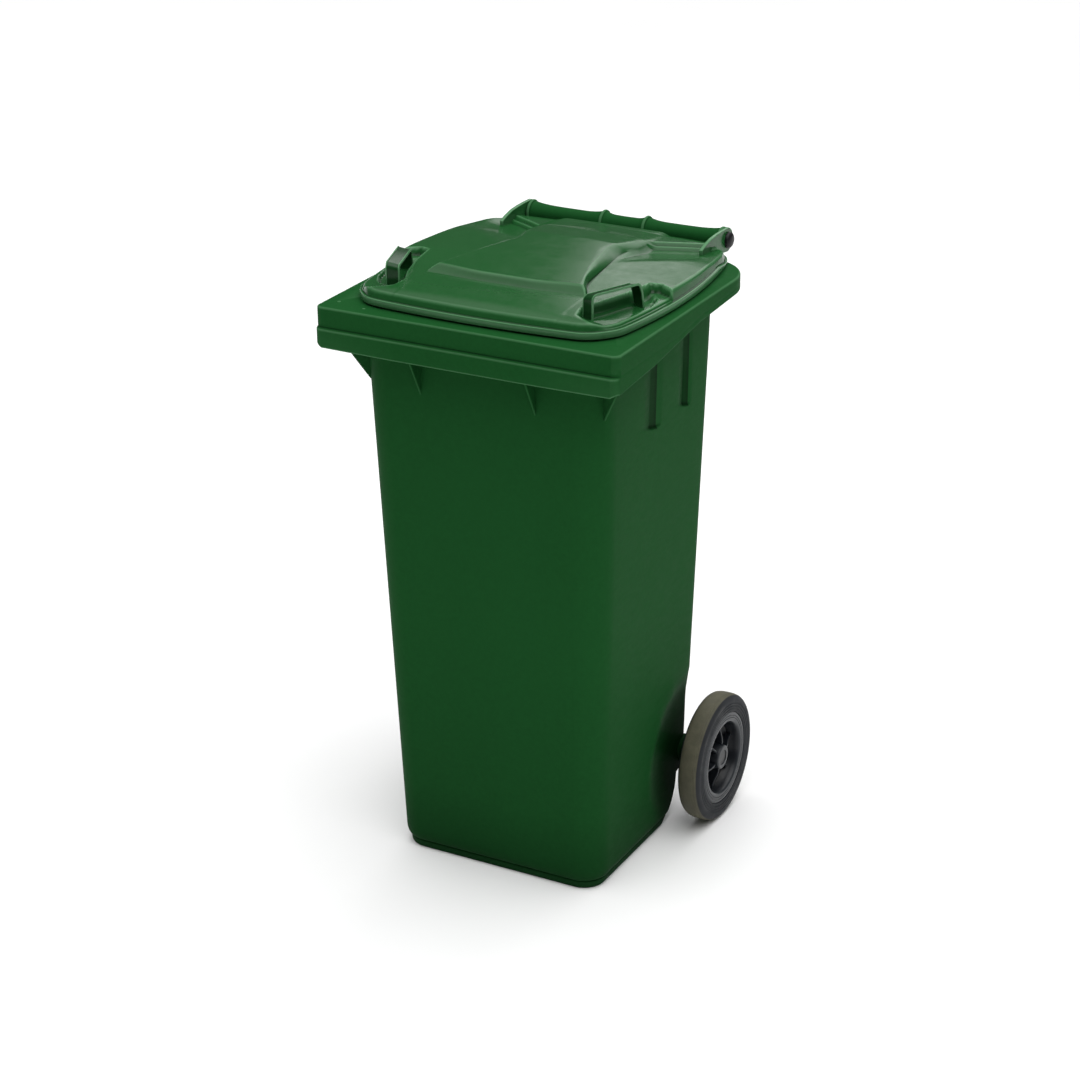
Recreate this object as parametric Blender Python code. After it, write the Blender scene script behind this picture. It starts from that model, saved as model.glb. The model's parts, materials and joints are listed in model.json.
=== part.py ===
"""Two-wheeled 120 litre wheelie bin, modelled as the pieces it is assembled from.

The frame: metres, +Z up, the front of the bin faces -Y, the ground is z = 0, and the origin is
the middle of the object's plan box. Plan outlines are written about the centre of the rim,
which lies RIM_CENTRE_Y along Y.
"""

import math

import bmesh
import bpy
from mathutils import Matrix, Vector

# ------------------------------------------------------------------ driving dimensions, metres
# Plan positions marked (plan) are measured from the centre of the rim.
RIM_WIDTH = 0.480
RIM_TOP_Z = 0.8755
RIM_HALF_DEPTH = 0.2250
RIM_CENTRE_Y = -0.03125
WALL = 0.004
FIT_GAP = 0.0004

# The tub tapers in straight lines; each pair is the value at the ground and at the rim's top.
TUB_HALF_X = (0.1700, 0.1995)
TUB_FRONT_Y = (-0.1620, -0.1908)
TUB_REAR_Y = (0.1550, 0.1885)
TUB_FRONT_CORNER = (0.040, 0.0500)
TUB_REAR_CORNER = (0.036, 0.0400)
FLOOR_TOP_Z = 0.014
# the foot ring under the rounded bottom edge, as (height, inset), top to bottom
FOOT_EDGE = (
    (0.0240, 0.0), (0.0185, 0.0009), (0.0145, 0.0030), (0.0125, 0.0058), (0.0020, 0.0062), (0.0, 0.0085),
)
FOOT_RING_WIDTH = 0.012
FOOT_RING_DEPTH = 0.007

# The rim: an upside-down channel with a proud band along the bottom of its front face.
RIM_FRONT_CORNER = 0.0115
RIM_REAR_CORNER = 0.077
RIM_BAND_Z = RIM_TOP_Z - 0.032
RIM_BAND_PROUD = 0.004
RIM_EDGE_RADIUS = 0.003
RIM_CORNER_LIFT = 0.006
# height of the skirt's lower edge at three places along Y (plan), front to back
SKIRT_EDGE = ((-0.205, RIM_TOP_Z - 0.0610), (0.030, RIM_TOP_Z - 0.0295), (0.160, RIM_TOP_Z - 0.0240))

# Stiffening fins between the tub and the rim's skirt.
FIN_X = 0.092
FIN_THICKNESS = 0.003
FIN_LOW_Z = RIM_TOP_Z - 0.122
FIN_SET_BACK = 0.010
FIN_EDGE_Z = RIM_TOP_Z - 0.0600
# The corner fins radiate from this point (plan) at this angle behind the X axis.
CORNER_FIN_CENTRE = (0.1468, -0.1381)
CORNER_FIN_DEGREES = 32.0
CORNER_FIN_REACH = (0.0460, 0.0495, 0.0960)

# Flutes let into the side walls below the rim: front and rear along Y (plan) of each, and the
# height of the flutes' bottoms at front and rear.
FLUTES = ((-0.0580, -0.0120), (0.0530, 0.0910))
FLUTE_BOTTOM_Z = (0.7030, 0.6910)
FLUTE_DEPTH = 0.0095
FLUTE_SLANT = 0.010

# Wheels and axle.
WHEEL_RADIUS = 0.100
WHEEL_OUTER_X = 0.236
TYRE_WIDTH = 0.036
AXLE_Y = RIM_CENTRE_Y + 0.1450
AXLE_RADIUS = 0.010
AXLE_HALF_LENGTH = WHEEL_OUTER_X - 0.0085
GROOVE_X = WHEEL_OUTER_X - 0.0190
GROOVE_HALF_WIDTH = 0.0036
GROOVE_DEPTH = 0.0020
AXLE_BOSS_X = (0.128, 0.1760)
AXLE_BOSS_RADIUS = 0.019
WASHER_RADIUS = 0.0175
WASHER_THICKNESS = 0.0015
LOCK_PIN_RADIUS = 0.0030
LOCK_PIN_Z = (0.0086, 0.0136)
LOCK_BORE_TOP = 0.0185
SPRING_TURNS = 3.0
SPRING_RADIUS = 0.0020
SPRING_WIRE_RADIUS = 0.0003
HUB_SEAT_RADIUS = 0.0720
HUB_INNER_X = AXLE_BOSS_X[1] + WASHER_THICKNESS + 2.0 * FIT_GAP
HUB_END_X = WHEEL_OUTER_X - 0.0035
HUB_BOSS_RADIUS = 0.0200
HUB_RIBS = 6
ARCH_RADIUS = 0.120
ARCH_DEPTH = 0.009

# The underside: a rounded heel below the rear of the base and an open channel for the axle.
HEEL_CENTRE = (0.040, 0.075)
HEEL_RADIUS = 0.080
HEEL_WALL = 0.004
CHANNEL_HALF_X = 0.140
CHANNEL_FRONT_Y = 0.1175
CHANNEL_Z = (0.050, 0.127)
CHANNEL_CHAMFER = 0.015
CHANNEL_LINING_TOP_Z = 0.146
RIB_X = (-0.075, 0.0, 0.075)
RIB_THICKNESS = 0.005
RIB_Z = (0.072, 0.144)
REAR_CUT_Y = 0.260

# The grip bar along the back, with a collar at each bracket, and the hinge pins in its ends.
HINGE_Y = RIM_CENTRE_Y + 0.2725
HINGE_Z = RIM_TOP_Z + 0.0145
BAR_RADIUS = 0.013
BAR_FLARE = 0.0035
BAR_HALF_LENGTH = 0.163
BRACKET_X = (0.036, 0.1605)
BRACKET_THICKNESS = 0.0044
COLLAR_RADIUS = 0.019
COLLAR_HALF_WIDTH = 0.0025
BRACKET_BAR_RADIUS = 0.0105
PIN_RADIUS = 0.0065
PIN_INNER_X = 0.128
CAP_RADIUS = 0.0122
CAP_THICKNESS = 0.0075

# The lid: a barrel-shaped outline with a lip, a short skirt and a raised panel.
LID_HALF_X = 0.209
LID_FRONT_Y = -0.195
LID_REAR_Y = 0.2405
LID_FRONT_CORNER = 0.054
LID_REAR_CORNER = 0.056
LID_SIDE_BOW = 0.016
LID_BOW_CENTRE_Y = 0.010
LID_BOW_REACH = 0.163
LID_FRONT_BOW = 0.008
LID_LIP_Z = RIM_TOP_Z + 0.0028
LID_LIP_HEIGHT = 0.010
LID_LIP_REAR_HEIGHT = 0.0045
LID_LIP_PROUD = 0.004
LID_THICKNESS = 0.0035
# Tables of (Y, value) from front to back (plan); heights are above the rim's top.
PANEL_FRONT_Y = (-0.1100, -0.0950)
PANEL_TOP = ((-0.095, 0.0435), (0.0, 0.0470), (0.100, 0.0450), (0.160, 0.0380), (0.215, 0.0290))
BASE_TOP = (
    (-0.203, 0.0220), (-0.178, 0.0280), (-0.118, 0.0335), (0.0, 0.0350), (0.120, 0.0340),
    (0.180, 0.0310), (0.215, 0.0275), (0.240, 0.0190),
)
SIDE_DROP = ((-0.200, 0.004), (0.0, 0.005), (0.100, 0.008), (0.180, 0.012), (0.212, 0.011), (0.236, 0.002))
# A double step runs slanting from the panel's rear corner to the hinge ear: its two ends (plan),
# the height of each step and how far in front of the first the second one lies.
STEP_LINE = ((0.0970, 0.1740), (0.1500, 0.2150))
STEP_HEIGHTS = (0.0048, 0.0042)
STEP_SPACING = 0.0085
CREASE_X = ((-0.100, 0.120), (-0.058, 0.106), (0.010, 0.097), (0.070, 0.086), (0.125, 0.093))
PANEL_EDGE_X = ((-0.100, 0.110), (0.0, 0.082), (0.070, 0.060), (0.125, 0.084))
# Lifting handles: foot centres (plan) on the +X side.
HANDLE_FRONT = (0.1555, -0.1500)
HANDLE_REAR = (0.1865, -0.0630)
HANDLE_WIDTH = 0.020
HANDLE_TOP_Z = RIM_TOP_Z + 0.0545
HANDLE_FOOT_Z = RIM_TOP_Z + 0.0170
HANDLE_THICKNESS = 0.005
HANDLE_DISH_DEPTH = 0.011
# Ears that wrap the hinge pins.
EAR_INNER_X = 0.1640
EAR_OUTER_X = 0.1695

# The plug that closes the seat for an identity chip, under the rim's front left corner.
CHIP_X = -0.1700
CHIP_Y = RIM_CENTRE_Y - 0.2050
CHIP_PLUG_RADIUS = 0.011
CHIP_PEG_RADIUS = 0.0023

# Plan steps shared by every outline, so that outlines join point by point.
ARC_STEPS = 6
SIDE_STEPS = 12
FRONT_STEPS = 5


# ------------------------------------------------------------------------------ small helpers
def mix(low, high, share):
    return low + (high - low) * share


def smooth(value, start, end):
    """0 at start, 1 at end, and an S-curve between them."""
    share = min(1.0, max(0.0, (value - start) / (end - start)))
    return share * share * (3.0 - 2.0 * share)


def along(points, value):
    """Straight-line interpolation through (position, height) pairs."""
    if value <= points[0][0]:
        return points[0][1]
    for (low, low_height), (high, high_height) in zip(points, points[1:]):
        if value <= high:
            return mix(low_height, high_height, (value - low) / (high - low))
    return points[-1][1]


def arc(centre, radius, start_degrees, end_degrees, steps):
    """Points along a circular arc in a plane."""
    points = []
    for step in range(steps + 1):
        angle = math.radians(mix(start_degrees, end_degrees, step / steps))
        points.append((centre[0] + radius * math.cos(angle), centre[1] + radius * math.sin(angle)))
    return points


def new_material(name, colour, roughness, metallic=0.0):
    material = bpy.data.materials.new(name)
    material.use_nodes = True
    shader = material.node_tree.nodes["Principled BSDF"]
    shader.inputs["Base Color"].default_value = (*colour, 1.0)
    shader.inputs["Roughness"].default_value = roughness
    shader.inputs["Metallic"].default_value = metallic
    material.diffuse_color = (*colour, 1.0)
    return material


def new_object(name, vertices, faces, material=None):
    """A mesh object with its faces turned outwards."""
    mesh = bpy.data.meshes.new(name)
    mesh.from_pydata([tuple(vertex) for vertex in vertices], [], faces)
    work = bmesh.new()
    work.from_mesh(mesh)
    bmesh.ops.recalc_face_normals(work, faces=work.faces)
    work.to_mesh(mesh)
    work.free()
    thing = bpy.data.objects.new(name, mesh)
    bpy.context.collection.objects.link(thing)
    if material is not None:
        mesh.materials.append(material)
    return thing


def weld(mesh, distance=0.00002):
    """Close up the needle-thin faces that a cut can leave."""
    work = bmesh.new()
    work.from_mesh(mesh)
    bmesh.ops.remove_doubles(work, verts=work.verts, dist=distance)
    bmesh.ops.dissolve_degenerate(work, edges=work.edges, dist=distance)
    work.to_mesh(mesh)
    work.free()


def combine(target, tools, operation):
    """Join the tools to the target, or cut them from it, and remove them."""
    for tool in tools:
        modifier = target.modifiers.new(operation, "BOOLEAN")
        modifier.operation = operation
        modifier.object = tool
    depsgraph = bpy.context.evaluated_depsgraph_get()
    mesh = bpy.data.meshes.new_from_object(target.evaluated_get(depsgraph))
    target.modifiers.clear()
    target.data = mesh
    weld(mesh)
    for tool in tools:
        bpy.data.objects.remove(tool)


def finish(thing, origin, sharp_degrees=35.0):
    """Put the object's origin at a point, leave its shape in place, and shade it smooth."""
    thing.data.transform(Matrix.Translation(-Vector(origin)))
    thing.location = origin
    thing.data.shade_smooth()
    thing.data.set_sharp_from_angle(angle=math.radians(sharp_degrees))
    return thing


def loft(name, loops, material=None):
    """A closed skin through loops of equal length, with a flat cap on each end loop."""
    count = len(loops[0])
    vertices = [point for loop in loops for point in loop]
    faces = [list(range(count))]
    for ring in range(len(loops) - 1):
        for step in range(count):
            here = ring * count
            after = (step + 1) % count
            faces.append([here + step, here + after, here + count + after, here + count + step])
    last = (len(loops) - 1) * count
    faces.append([last + step for step in reversed(range(count))])
    return new_object(name, vertices, faces, material)


def prism(name, outline, low, high, to_space):
    """A flat outline pushed from low to high; to_space maps (u, v, depth) to a point."""
    loops = [[to_space(u, v, depth) for u, v in outline] for depth in (low, high)]
    return loft(name, loops)


def across(u, v, depth):
    """A (y, z) outline pushed along X."""
    return Vector((depth, u, v))


def turned(name, profile, centre, steps, material=None):
    """A ring or a solid turned about the X axis through centre.

    The profile is a list of (x, radius). It closes on itself, unless it starts and ends on the
    axis, where one point stands for the whole loop.
    """
    solid = profile[0][1] == 0.0 and profile[-1][1] == 0.0
    vertices = []
    rings = []
    for x, radius in profile:
        first = len(vertices)
        if radius == 0.0:
            vertices.append(Vector((centre[0] + x, centre[1], centre[2])))
            rings.append([first] * steps)
            continue
        for step in range(steps):
            angle = 2.0 * math.pi * step / steps
            side = (radius * math.cos(angle), radius * math.sin(angle))
            vertices.append(Vector((centre[0] + x, centre[1] + side[0], centre[2] + side[1])))
        rings.append([first + step for step in range(steps)])
    pairs = list(zip(rings, rings[1:]))
    if not solid:
        pairs.append((rings[-1], rings[0]))
    faces = []
    for low, high in pairs:
        for step in range(steps):
            after = (step + 1) % steps
            corners = [low[step], low[after], high[after], high[step]]
            faces.append(list(dict.fromkeys(corners)))
    return new_object(name, vertices, faces, material)


def mirrored_profile(profile, side):
    """The same profile for the +X side (side = 1) or the -X side (side = -1)."""
    return [(side * x, radius) for x, radius in profile]


# ------------------------------------------------------------------------------ plan outlines
def rounded_outline(half_x, front_y, rear_y, front_corner, rear_corner):
    """A rounded rectangle, anticlockwise from above, always with the same number of points."""
    corners = (
        (half_x - front_corner, front_y + front_corner, front_corner, -90.0, SIDE_STEPS),
        (half_x - rear_corner, rear_y - rear_corner, rear_corner, 0.0, FRONT_STEPS),
        (-half_x + rear_corner, rear_y - rear_corner, rear_corner, 90.0, SIDE_STEPS),
        (-half_x + front_corner, front_y + front_corner, front_corner, 180.0, FRONT_STEPS),
    )
    arcs = [arc((x, y), radius, start, start + 90.0, ARC_STEPS) for x, y, radius, start, _ in corners]
    points = []
    for index, corner in enumerate(corners):
        points += arcs[index]
        start = arcs[index][-1]
        end = arcs[(index + 1) % len(arcs)][0]
        for step in range(1, corner[4]):
            share = step / corner[4]
            points.append((mix(start[0], end[0], share), mix(start[1], end[1], share)))
    return points


def lift(outline, height):
    """Turn a plan outline about the rim's centre into points; height is a number or a rule."""
    points = []
    for x, y in outline:
        z = height(x, y) if callable(height) else height
        points.append(Vector((x, RIM_CENTRE_Y + y, z)))
    return points


def tub_loop(z, inset, height=None):
    """The tub's section at height z, drawn in by inset."""
    share = z / RIM_TOP_Z
    outline = rounded_outline(
        mix(*TUB_HALF_X, share) - inset,
        mix(*TUB_FRONT_Y, share) + inset,
        mix(*TUB_REAR_Y, share) - inset,
        mix(*TUB_FRONT_CORNER, share) - inset,
        mix(*TUB_REAR_CORNER, share) - inset,
    )
    return lift(outline, z if height is None else height)


def rim_loop(height, inset, proud=0.0):
    outline = rounded_outline(
        RIM_WIDTH / 2.0 - inset,
        -RIM_HALF_DEPTH - proud + inset,
        RIM_HALF_DEPTH - inset,
        RIM_FRONT_CORNER - inset,
        RIM_REAR_CORNER - inset,
    )
    return lift(outline, height)


def lid_outline(inset, scale=1.0):
    """The lid's outline, bowed along its sides and front, drawn in or scaled towards its middle."""
    middle = (LID_FRONT_Y + LID_REAR_Y) / 2.0
    outline = rounded_outline(
        LID_HALF_X - inset,
        LID_FRONT_Y + inset,
        LID_REAR_Y - inset,
        LID_FRONT_CORNER - inset,
        LID_REAR_CORNER - inset,
    )
    points = []
    for x, y in outline:
        side_share = 1.0 - ((y - LID_BOW_CENTRE_Y) / LID_BOW_REACH) ** 2
        front_share = 1.0 - (x / 0.160) ** 2
        bowed_x = x * (1.0 + LID_SIDE_BOW / LID_HALF_X * max(-0.3, side_share))
        bowed_y = y - LID_FRONT_BOW * max(0.0, front_share) * smooth(-y, 0.0, 0.15)
        points.append((bowed_x * scale, middle + (bowed_y - middle) * scale))
    return points


# ------------------------------------------------------------------------------- the body
def skirt_edge(x, y):
    """Height of the skirt's lower edge, lifted a little at the front corners."""
    corner = smooth(abs(x), 0.224, 0.240) * smooth(-y, 0.205, 0.224)
    return along(SKIRT_EDGE, y) + RIM_CORNER_LIFT * corner


def make_body_shell(material):
    """Tub, rim and floor as one wall of even thickness."""
    edge = RIM_EDGE_RADIUS
    loops = [
        tub_loop(FLOOR_TOP_Z, WALL + 0.014),
        tub_loop(FLOOR_TOP_Z + 0.0040, WALL + 0.0040),
        tub_loop(FLOOR_TOP_Z + 0.014, WALL),
        tub_loop(RIM_TOP_Z - edge, WALL),
        tub_loop(RIM_TOP_Z, WALL - edge),
        rim_loop(RIM_TOP_Z, edge),
        rim_loop(RIM_TOP_Z - edge * 0.3, edge * 0.3),
        rim_loop(RIM_TOP_Z - edge, 0.0),
        rim_loop(lambda x, y: max(RIM_BAND_Z + 0.002, skirt_edge(x, y) + 0.009), 0.0),
        rim_loop(lambda x, y: max(RIM_BAND_Z - 0.001, skirt_edge(x, y) + 0.006), 0.0, RIM_BAND_PROUD),
        rim_loop(lambda x, y: skirt_edge(x, y) + 0.001, 0.0, RIM_BAND_PROUD),
        rim_loop(skirt_edge, 0.001, RIM_BAND_PROUD),
        rim_loop(skirt_edge, WALL, RIM_BAND_PROUD),
        rim_loop(RIM_TOP_Z - WALL, WALL, 0.0),
        tub_loop(RIM_TOP_Z - WALL, 0.0),
    ]
    loops += [tub_loop(z, inset) for z, inset in FOOT_EDGE]
    ring_inset = FOOT_EDGE[-1][1] + FOOT_RING_WIDTH
    loops += [tub_loop(0.0, ring_inset), tub_loop(FOOT_RING_DEPTH, ring_inset + 0.002)]
    return loft("body", loops, material)


def front_fins():
    """Two thin upright fins that stiffen the front of the rim."""
    top = RIM_TOP_Z - WALL / 2.0
    front = RIM_CENTRE_Y - RIM_HALF_DEPTH + 0.001
    back = RIM_CENTRE_Y - RIM_HALF_DEPTH + FIN_SET_BACK
    wall = RIM_CENTRE_Y + mix(*TUB_FRONT_Y, 0.90) + 0.0015
    outline = [(front, top), (front, FIN_EDGE_Z), (back, FIN_EDGE_Z - 0.006), (wall, FIN_LOW_Z), (wall, top)]
    half = FIN_THICKNESS / 2.0
    return [prism("fin", outline, x - half, x + half, across) for x in (-FIN_X, FIN_X)]


def corner_fins():
    """A slanting fin in each front corner, between the tub's corner and the rim's."""
    top = RIM_TOP_Z - WALL / 2.0
    low = FIN_LOW_Z + 0.002
    inner, foot, outer = CORNER_FIN_REACH
    outline = [(inner, top), (inner, low), (foot, low), (outer, FIN_EDGE_Z), (outer, top)]
    angle = math.radians(CORNER_FIN_DEGREES)
    fins = []
    for side in (-1.0, 1.0):

        def slanting(u, v, depth, side=side):
            x = CORNER_FIN_CENTRE[0] + u * math.cos(angle) + depth * math.sin(angle)
            y = CORNER_FIN_CENTRE[1] - u * math.sin(angle) + depth * math.cos(angle)
            return Vector((side * x, RIM_CENTRE_Y + y, v))

        fins.append(prism("corner_fin", outline, -FIN_THICKNESS / 2.0, FIN_THICKNESS / 2.0, slanting))
    return fins


def flute_solid(side, flute, grow):
    """A wedge let into the side wall: shallow at its front, deepest at its back.

    With grow it is the lining that keeps the wall whole behind the cut.
    """
    front_y, rear_y = flute
    outer = 0.006 if grow == 0.0 else -0.0017
    deep = -FLUTE_DEPTH - grow
    top = RIM_TOP_Z - WALL - 0.001 if grow == 0.0 else RIM_TOP_Z - WALL / 2.0
    loops = []
    for level, slant in ((None, 0.0), (top, FLUTE_SLANT)):
        outline = [(front_y - grow, outer), (rear_y + grow, outer), (rear_y + grow, deep)]
        outline += [(front_y - grow + slant, -0.0005 - grow), (front_y - grow, -0.0005 - grow)]
        loop = []
        for y, x in outline:
            z = level or mix(*FLUTE_BOTTOM_Z, (y - front_y) / (rear_y - front_y)) - grow
            loop.append(Vector((side * (mix(*TUB_HALF_X, z / RIM_TOP_Z) + x), RIM_CENTRE_Y + y, z)))
        loops.append(loop)
    return loft("flute", loops)


def wheel_arch(side, grow):
    """A shallow dish in the side wall around the wheel, or its lining on the inner side."""
    wall_x = mix(*TUB_HALF_X, WHEEL_RADIUS / RIM_TOP_Z)
    depth = ARCH_DEPTH + grow
    radius = ARCH_RADIUS + grow
    profile = [
        (wall_x + 0.015, 0.0),
        (wall_x + 0.015, radius + 0.030),
        (wall_x + 0.003, radius + 0.020),
        (wall_x - depth * 0.55, radius - 0.002),
        (wall_x - depth, radius - 0.020),
        (wall_x - depth, 0.0),
    ]
    centre = (0.0, AXLE_Y, WHEEL_RADIUS)
    return turned("arch", mirrored_profile(profile, side), centre, 36)


def lining_limit():
    """The space just inside the tub's outer surface, which keeps the linings inside the tub."""
    steps = ((0.0085, 0.0071), (0.0150, 0.0048), (0.0250, 0.0013), (0.5, 0.0013))
    return loft("limit", [tub_loop(z, inset) for z, inset in steps])


def heel_cut():
    """The rounded cut under the rear of the base that clears the axle."""
    centre = (RIM_CENTRE_Y + HEEL_CENTRE[0], HEEL_CENTRE[1])
    rear = RIM_CENTRE_Y + REAR_CUT_Y
    curve = arc(centre, HEEL_RADIUS, -70.0, -5.0, 8)
    outline = [(centre[0], -0.010)] + curve + [(rear, 0.070), (rear, -0.010)]
    return prism("heel", outline, -0.30, 0.30, across)


def heel_lining():
    """The sloping rear part of the floor above the heel cut."""
    centre = (RIM_CENTRE_Y + HEEL_CENTRE[0], HEEL_CENTRE[1])
    radius = HEEL_RADIUS - HEEL_WALL
    curve = arc(centre, radius, -72.0, 0.0, 8)
    wall = RIM_CENTRE_Y + CHANNEL_FRONT_Y - HEEL_WALL
    top = CHANNEL_LINING_TOP_Z
    outline = [(curve[0][0], -0.020)] + curve[:-1] + [(wall, 0.100), (wall, top)]
    outline += [(RIM_CENTRE_Y + 0.200, top), (RIM_CENTRE_Y + 0.200, -0.020)]
    return prism("heel_lining", outline, -0.30, 0.30, across)


def axle_channel():
    """The open channel across the back of the base that the axle lies in."""
    front = RIM_CENTRE_Y + CHANNEL_FRONT_Y
    rear = RIM_CENTRE_Y + REAR_CUT_Y
    low, high = CHANNEL_Z
    shoulder = high + CHANNEL_CHAMFER
    outline = [(front, low), (front, high), (front + CHANNEL_CHAMFER, shoulder)]
    outline += [(rear, shoulder), (rear, low)]
    return prism("channel", outline, -CHANNEL_HALF_X, CHANNEL_HALF_X, across)


def axle_ribs():
    """Upright ribs that carry the axle across the channel."""
    front = RIM_CENTRE_Y + CHANNEL_FRONT_Y - 0.0015
    rear = [RIM_CENTRE_Y + mix(*TUB_REAR_Y, z / RIM_TOP_Z) for z in RIB_Z]
    outline = [(front, RIB_Z[0]), (front, RIB_Z[1])]
    outline += [(rear[1] + 0.0005, RIB_Z[1]), (rear[0] + 0.0057, RIB_Z[0])]
    half = RIB_THICKNESS / 2.0
    return [prism("rib", outline, x - half, x + half, across) for x in RIB_X]


def axle_bosses():
    """Round bosses on the side walls, which space the wheels from the tub."""
    centre = (0.0, AXLE_Y, WHEEL_RADIUS)
    start, end = AXLE_BOSS_X
    radius = AXLE_BOSS_RADIUS
    profile = [(start, 0.0), (start, radius), (end - 0.0015, radius), (end, radius - 0.0015), (end, 0.0)]
    return [turned("boss", mirrored_profile(profile, side), centre, 24) for side in (-1.0, 1.0)]


def handle_bar():
    """The hinge and grip bar with its four collars and a blind socket for a hinge pin in each end."""
    grip = BAR_RADIUS
    flare = BAR_FLARE
    end = BAR_HALF_LENGTH
    reach = COLLAR_HALF_WIDTH
    half = [(0.0, grip)]
    for centre in (BRACKET_X[0], end - reach):
        start = half[-1][0]
        for share in (0.55, 0.80, 1.0):
            x = mix(start, centre - reach, share)
            half.append((x, grip + flare * share ** 4))
        half += [(centre - reach, COLLAR_RADIUS - 0.001), (centre - reach + 0.001, COLLAR_RADIUS)]
        half += [(centre + reach - 0.001, COLLAR_RADIUS), (centre + reach, COLLAR_RADIUS - 0.001)]
        if centre < 0.1:
            for share in (0.0, 0.12, 0.30):
                x = mix(centre + reach, end, share)
                half.append((x, grip + flare * (1.0 - share / 0.3) ** 2))
    socket = PIN_RADIUS + FIT_GAP
    half += [(end, socket), (PIN_INNER_X - 0.002, socket), (PIN_INNER_X - 0.002, 0.0)]
    profile = [(-x, radius) for x, radius in reversed(half[1:])] + half
    return turned("bar", profile, (0.0, HINGE_Y, HINGE_Z), 20)


def bar_brackets():
    """Four plates from the tub's back wall, through the rim, to the bar's collars."""
    wall = RIM_CENTRE_Y + mix(*TUB_REAR_Y, 0.95) - 0.0015
    rim = RIM_CENTRE_Y + RIM_HALF_DEPTH
    outline = [(wall, RIM_TOP_Z - 0.0025), (rim + 0.020, RIM_TOP_Z - 0.0030)]
    outline += arc((HINGE_Y, HINGE_Z), BRACKET_BAR_RADIUS, 172.0, 288.0, 7)
    outline += [(rim, RIM_TOP_Z - 0.034), (wall, RIM_TOP_Z - 0.077)]
    half = BRACKET_THICKNESS / 2.0
    centres = (-BRACKET_X[1], -BRACKET_X[0], BRACKET_X[0], BRACKET_X[1])
    return [prism("bracket", outline, x - half, x + half, across) for x in centres]


def make_body(material):
    body = make_body_shell(material)
    linings = []
    cuts = []
    for side in (-1.0, 1.0):
        for flute in FLUTES:
            linings.append(flute_solid(side, flute, 0.003))
            cuts.append(flute_solid(side, flute, 0.0))
    for lining in (wheel_arch(-1.0, 0.004), wheel_arch(1.0, 0.004), heel_lining()):
        combine(lining, [lining_limit()], "INTERSECT")
        linings.append(lining)
    cuts += [wheel_arch(-1.0, 0.0), wheel_arch(1.0, 0.0), heel_cut(), axle_channel()]
    combine(body, linings, "UNION")
    combine(body, cuts, "DIFFERENCE")
    combine(body, front_fins() + corner_fins(), "UNION")
    combine(body, axle_ribs() + axle_bosses() + bar_brackets() + [handle_bar()], "UNION")
    bore = [(-0.30, 0.0), (-0.30, AXLE_RADIUS + FIT_GAP), (0.30, AXLE_RADIUS + FIT_GAP), (0.30, 0.0)]
    axle_bore = turned("axle_bore", bore, (0.0, AXLE_Y, WHEEL_RADIUS), 28)
    combine(body, [axle_bore, chip_plug_hole()], "DIFFERENCE")
    return finish(body, (0.0, 0.0, 0.0))


# ---------------------------------------------------------------------------- the lid
HANDLE_RUN = Vector((*HANDLE_REAR, 0.0)) - Vector((*HANDLE_FRONT, 0.0))
HANDLE_DIRECTION = HANDLE_RUN.normalized()
HANDLE_MIDDLE = (Vector((*HANDLE_REAR, 0.0)) + Vector((*HANDLE_FRONT, 0.0))) / 2.0


def handle_coordinates(x, y):
    """Distances along and across the handle, from the middle of the handle."""
    offset = (x - HANDLE_MIDDLE.x, y - HANDLE_MIDDLE.y)
    run = offset[0] * HANDLE_DIRECTION.x + offset[1] * HANDLE_DIRECTION.y
    side = offset[0] * HANDLE_DIRECTION.y - offset[1] * HANDLE_DIRECTION.x
    return run, side


def lid_top(x, y):
    """Height of the lid's upper surface; y is measured from the rim's centre."""
    x = abs(x)
    side_share = min(1.0, x / 0.215) ** 2
    z = RIM_TOP_Z + along(BASE_TOP, y) - along(SIDE_DROP, y) * side_share
    inside = 1.0 - smooth(x, along(PANEL_EDGE_X, y), along(CREASE_X, y))
    shift = 0.018 * smooth(x, 0.075, 0.125)
    front = smooth(y, PANEL_FRONT_Y[0] + shift, PANEL_FRONT_Y[1] + shift)
    z += (along(PANEL_TOP, y) - along(BASE_TOP, y)) * inside * front
    z -= step_drop(x, y)
    run, side = handle_coordinates(x, y)
    reach = math.hypot(run / 0.040, side / (0.030 if side > 0.0 else 0.024))
    z -= HANDLE_DISH_DEPTH * (1.0 - smooth(reach, 0.55, 1.25))
    return max(z, lip_top(x, y) + 0.0065)


def step_drop(x, y):
    """How far the surface lies below the rear of the lid, in front of the slanting double step."""
    (x0, y0), (x1, y1) = STEP_LINE
    length = math.hypot(x1 - x0, y1 - y0)
    ahead = ((x - x0) * (y1 - y0) - (y - y0) * (x1 - x0)) / length
    drop = STEP_HEIGHTS[0] * smooth(ahead, 0.0, 0.0045)
    drop += STEP_HEIGHTS[1] * smooth(ahead, STEP_SPACING, STEP_SPACING + 0.0045)
    inner_end = smooth(x, 0.090, 0.102)
    outer_end = 1.0 - smooth(x, 0.160, 0.200)
    return drop * inner_end * outer_end * (1.0 - smooth(ahead, 0.030, 0.100))


def lip_top(x, y):
    """Height of the top of the lip, which is lower along the rear edge."""
    return LID_LIP_Z + mix(LID_LIP_HEIGHT, LID_LIP_REAR_HEIGHT, smooth(y, 0.150, 0.200))


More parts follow.
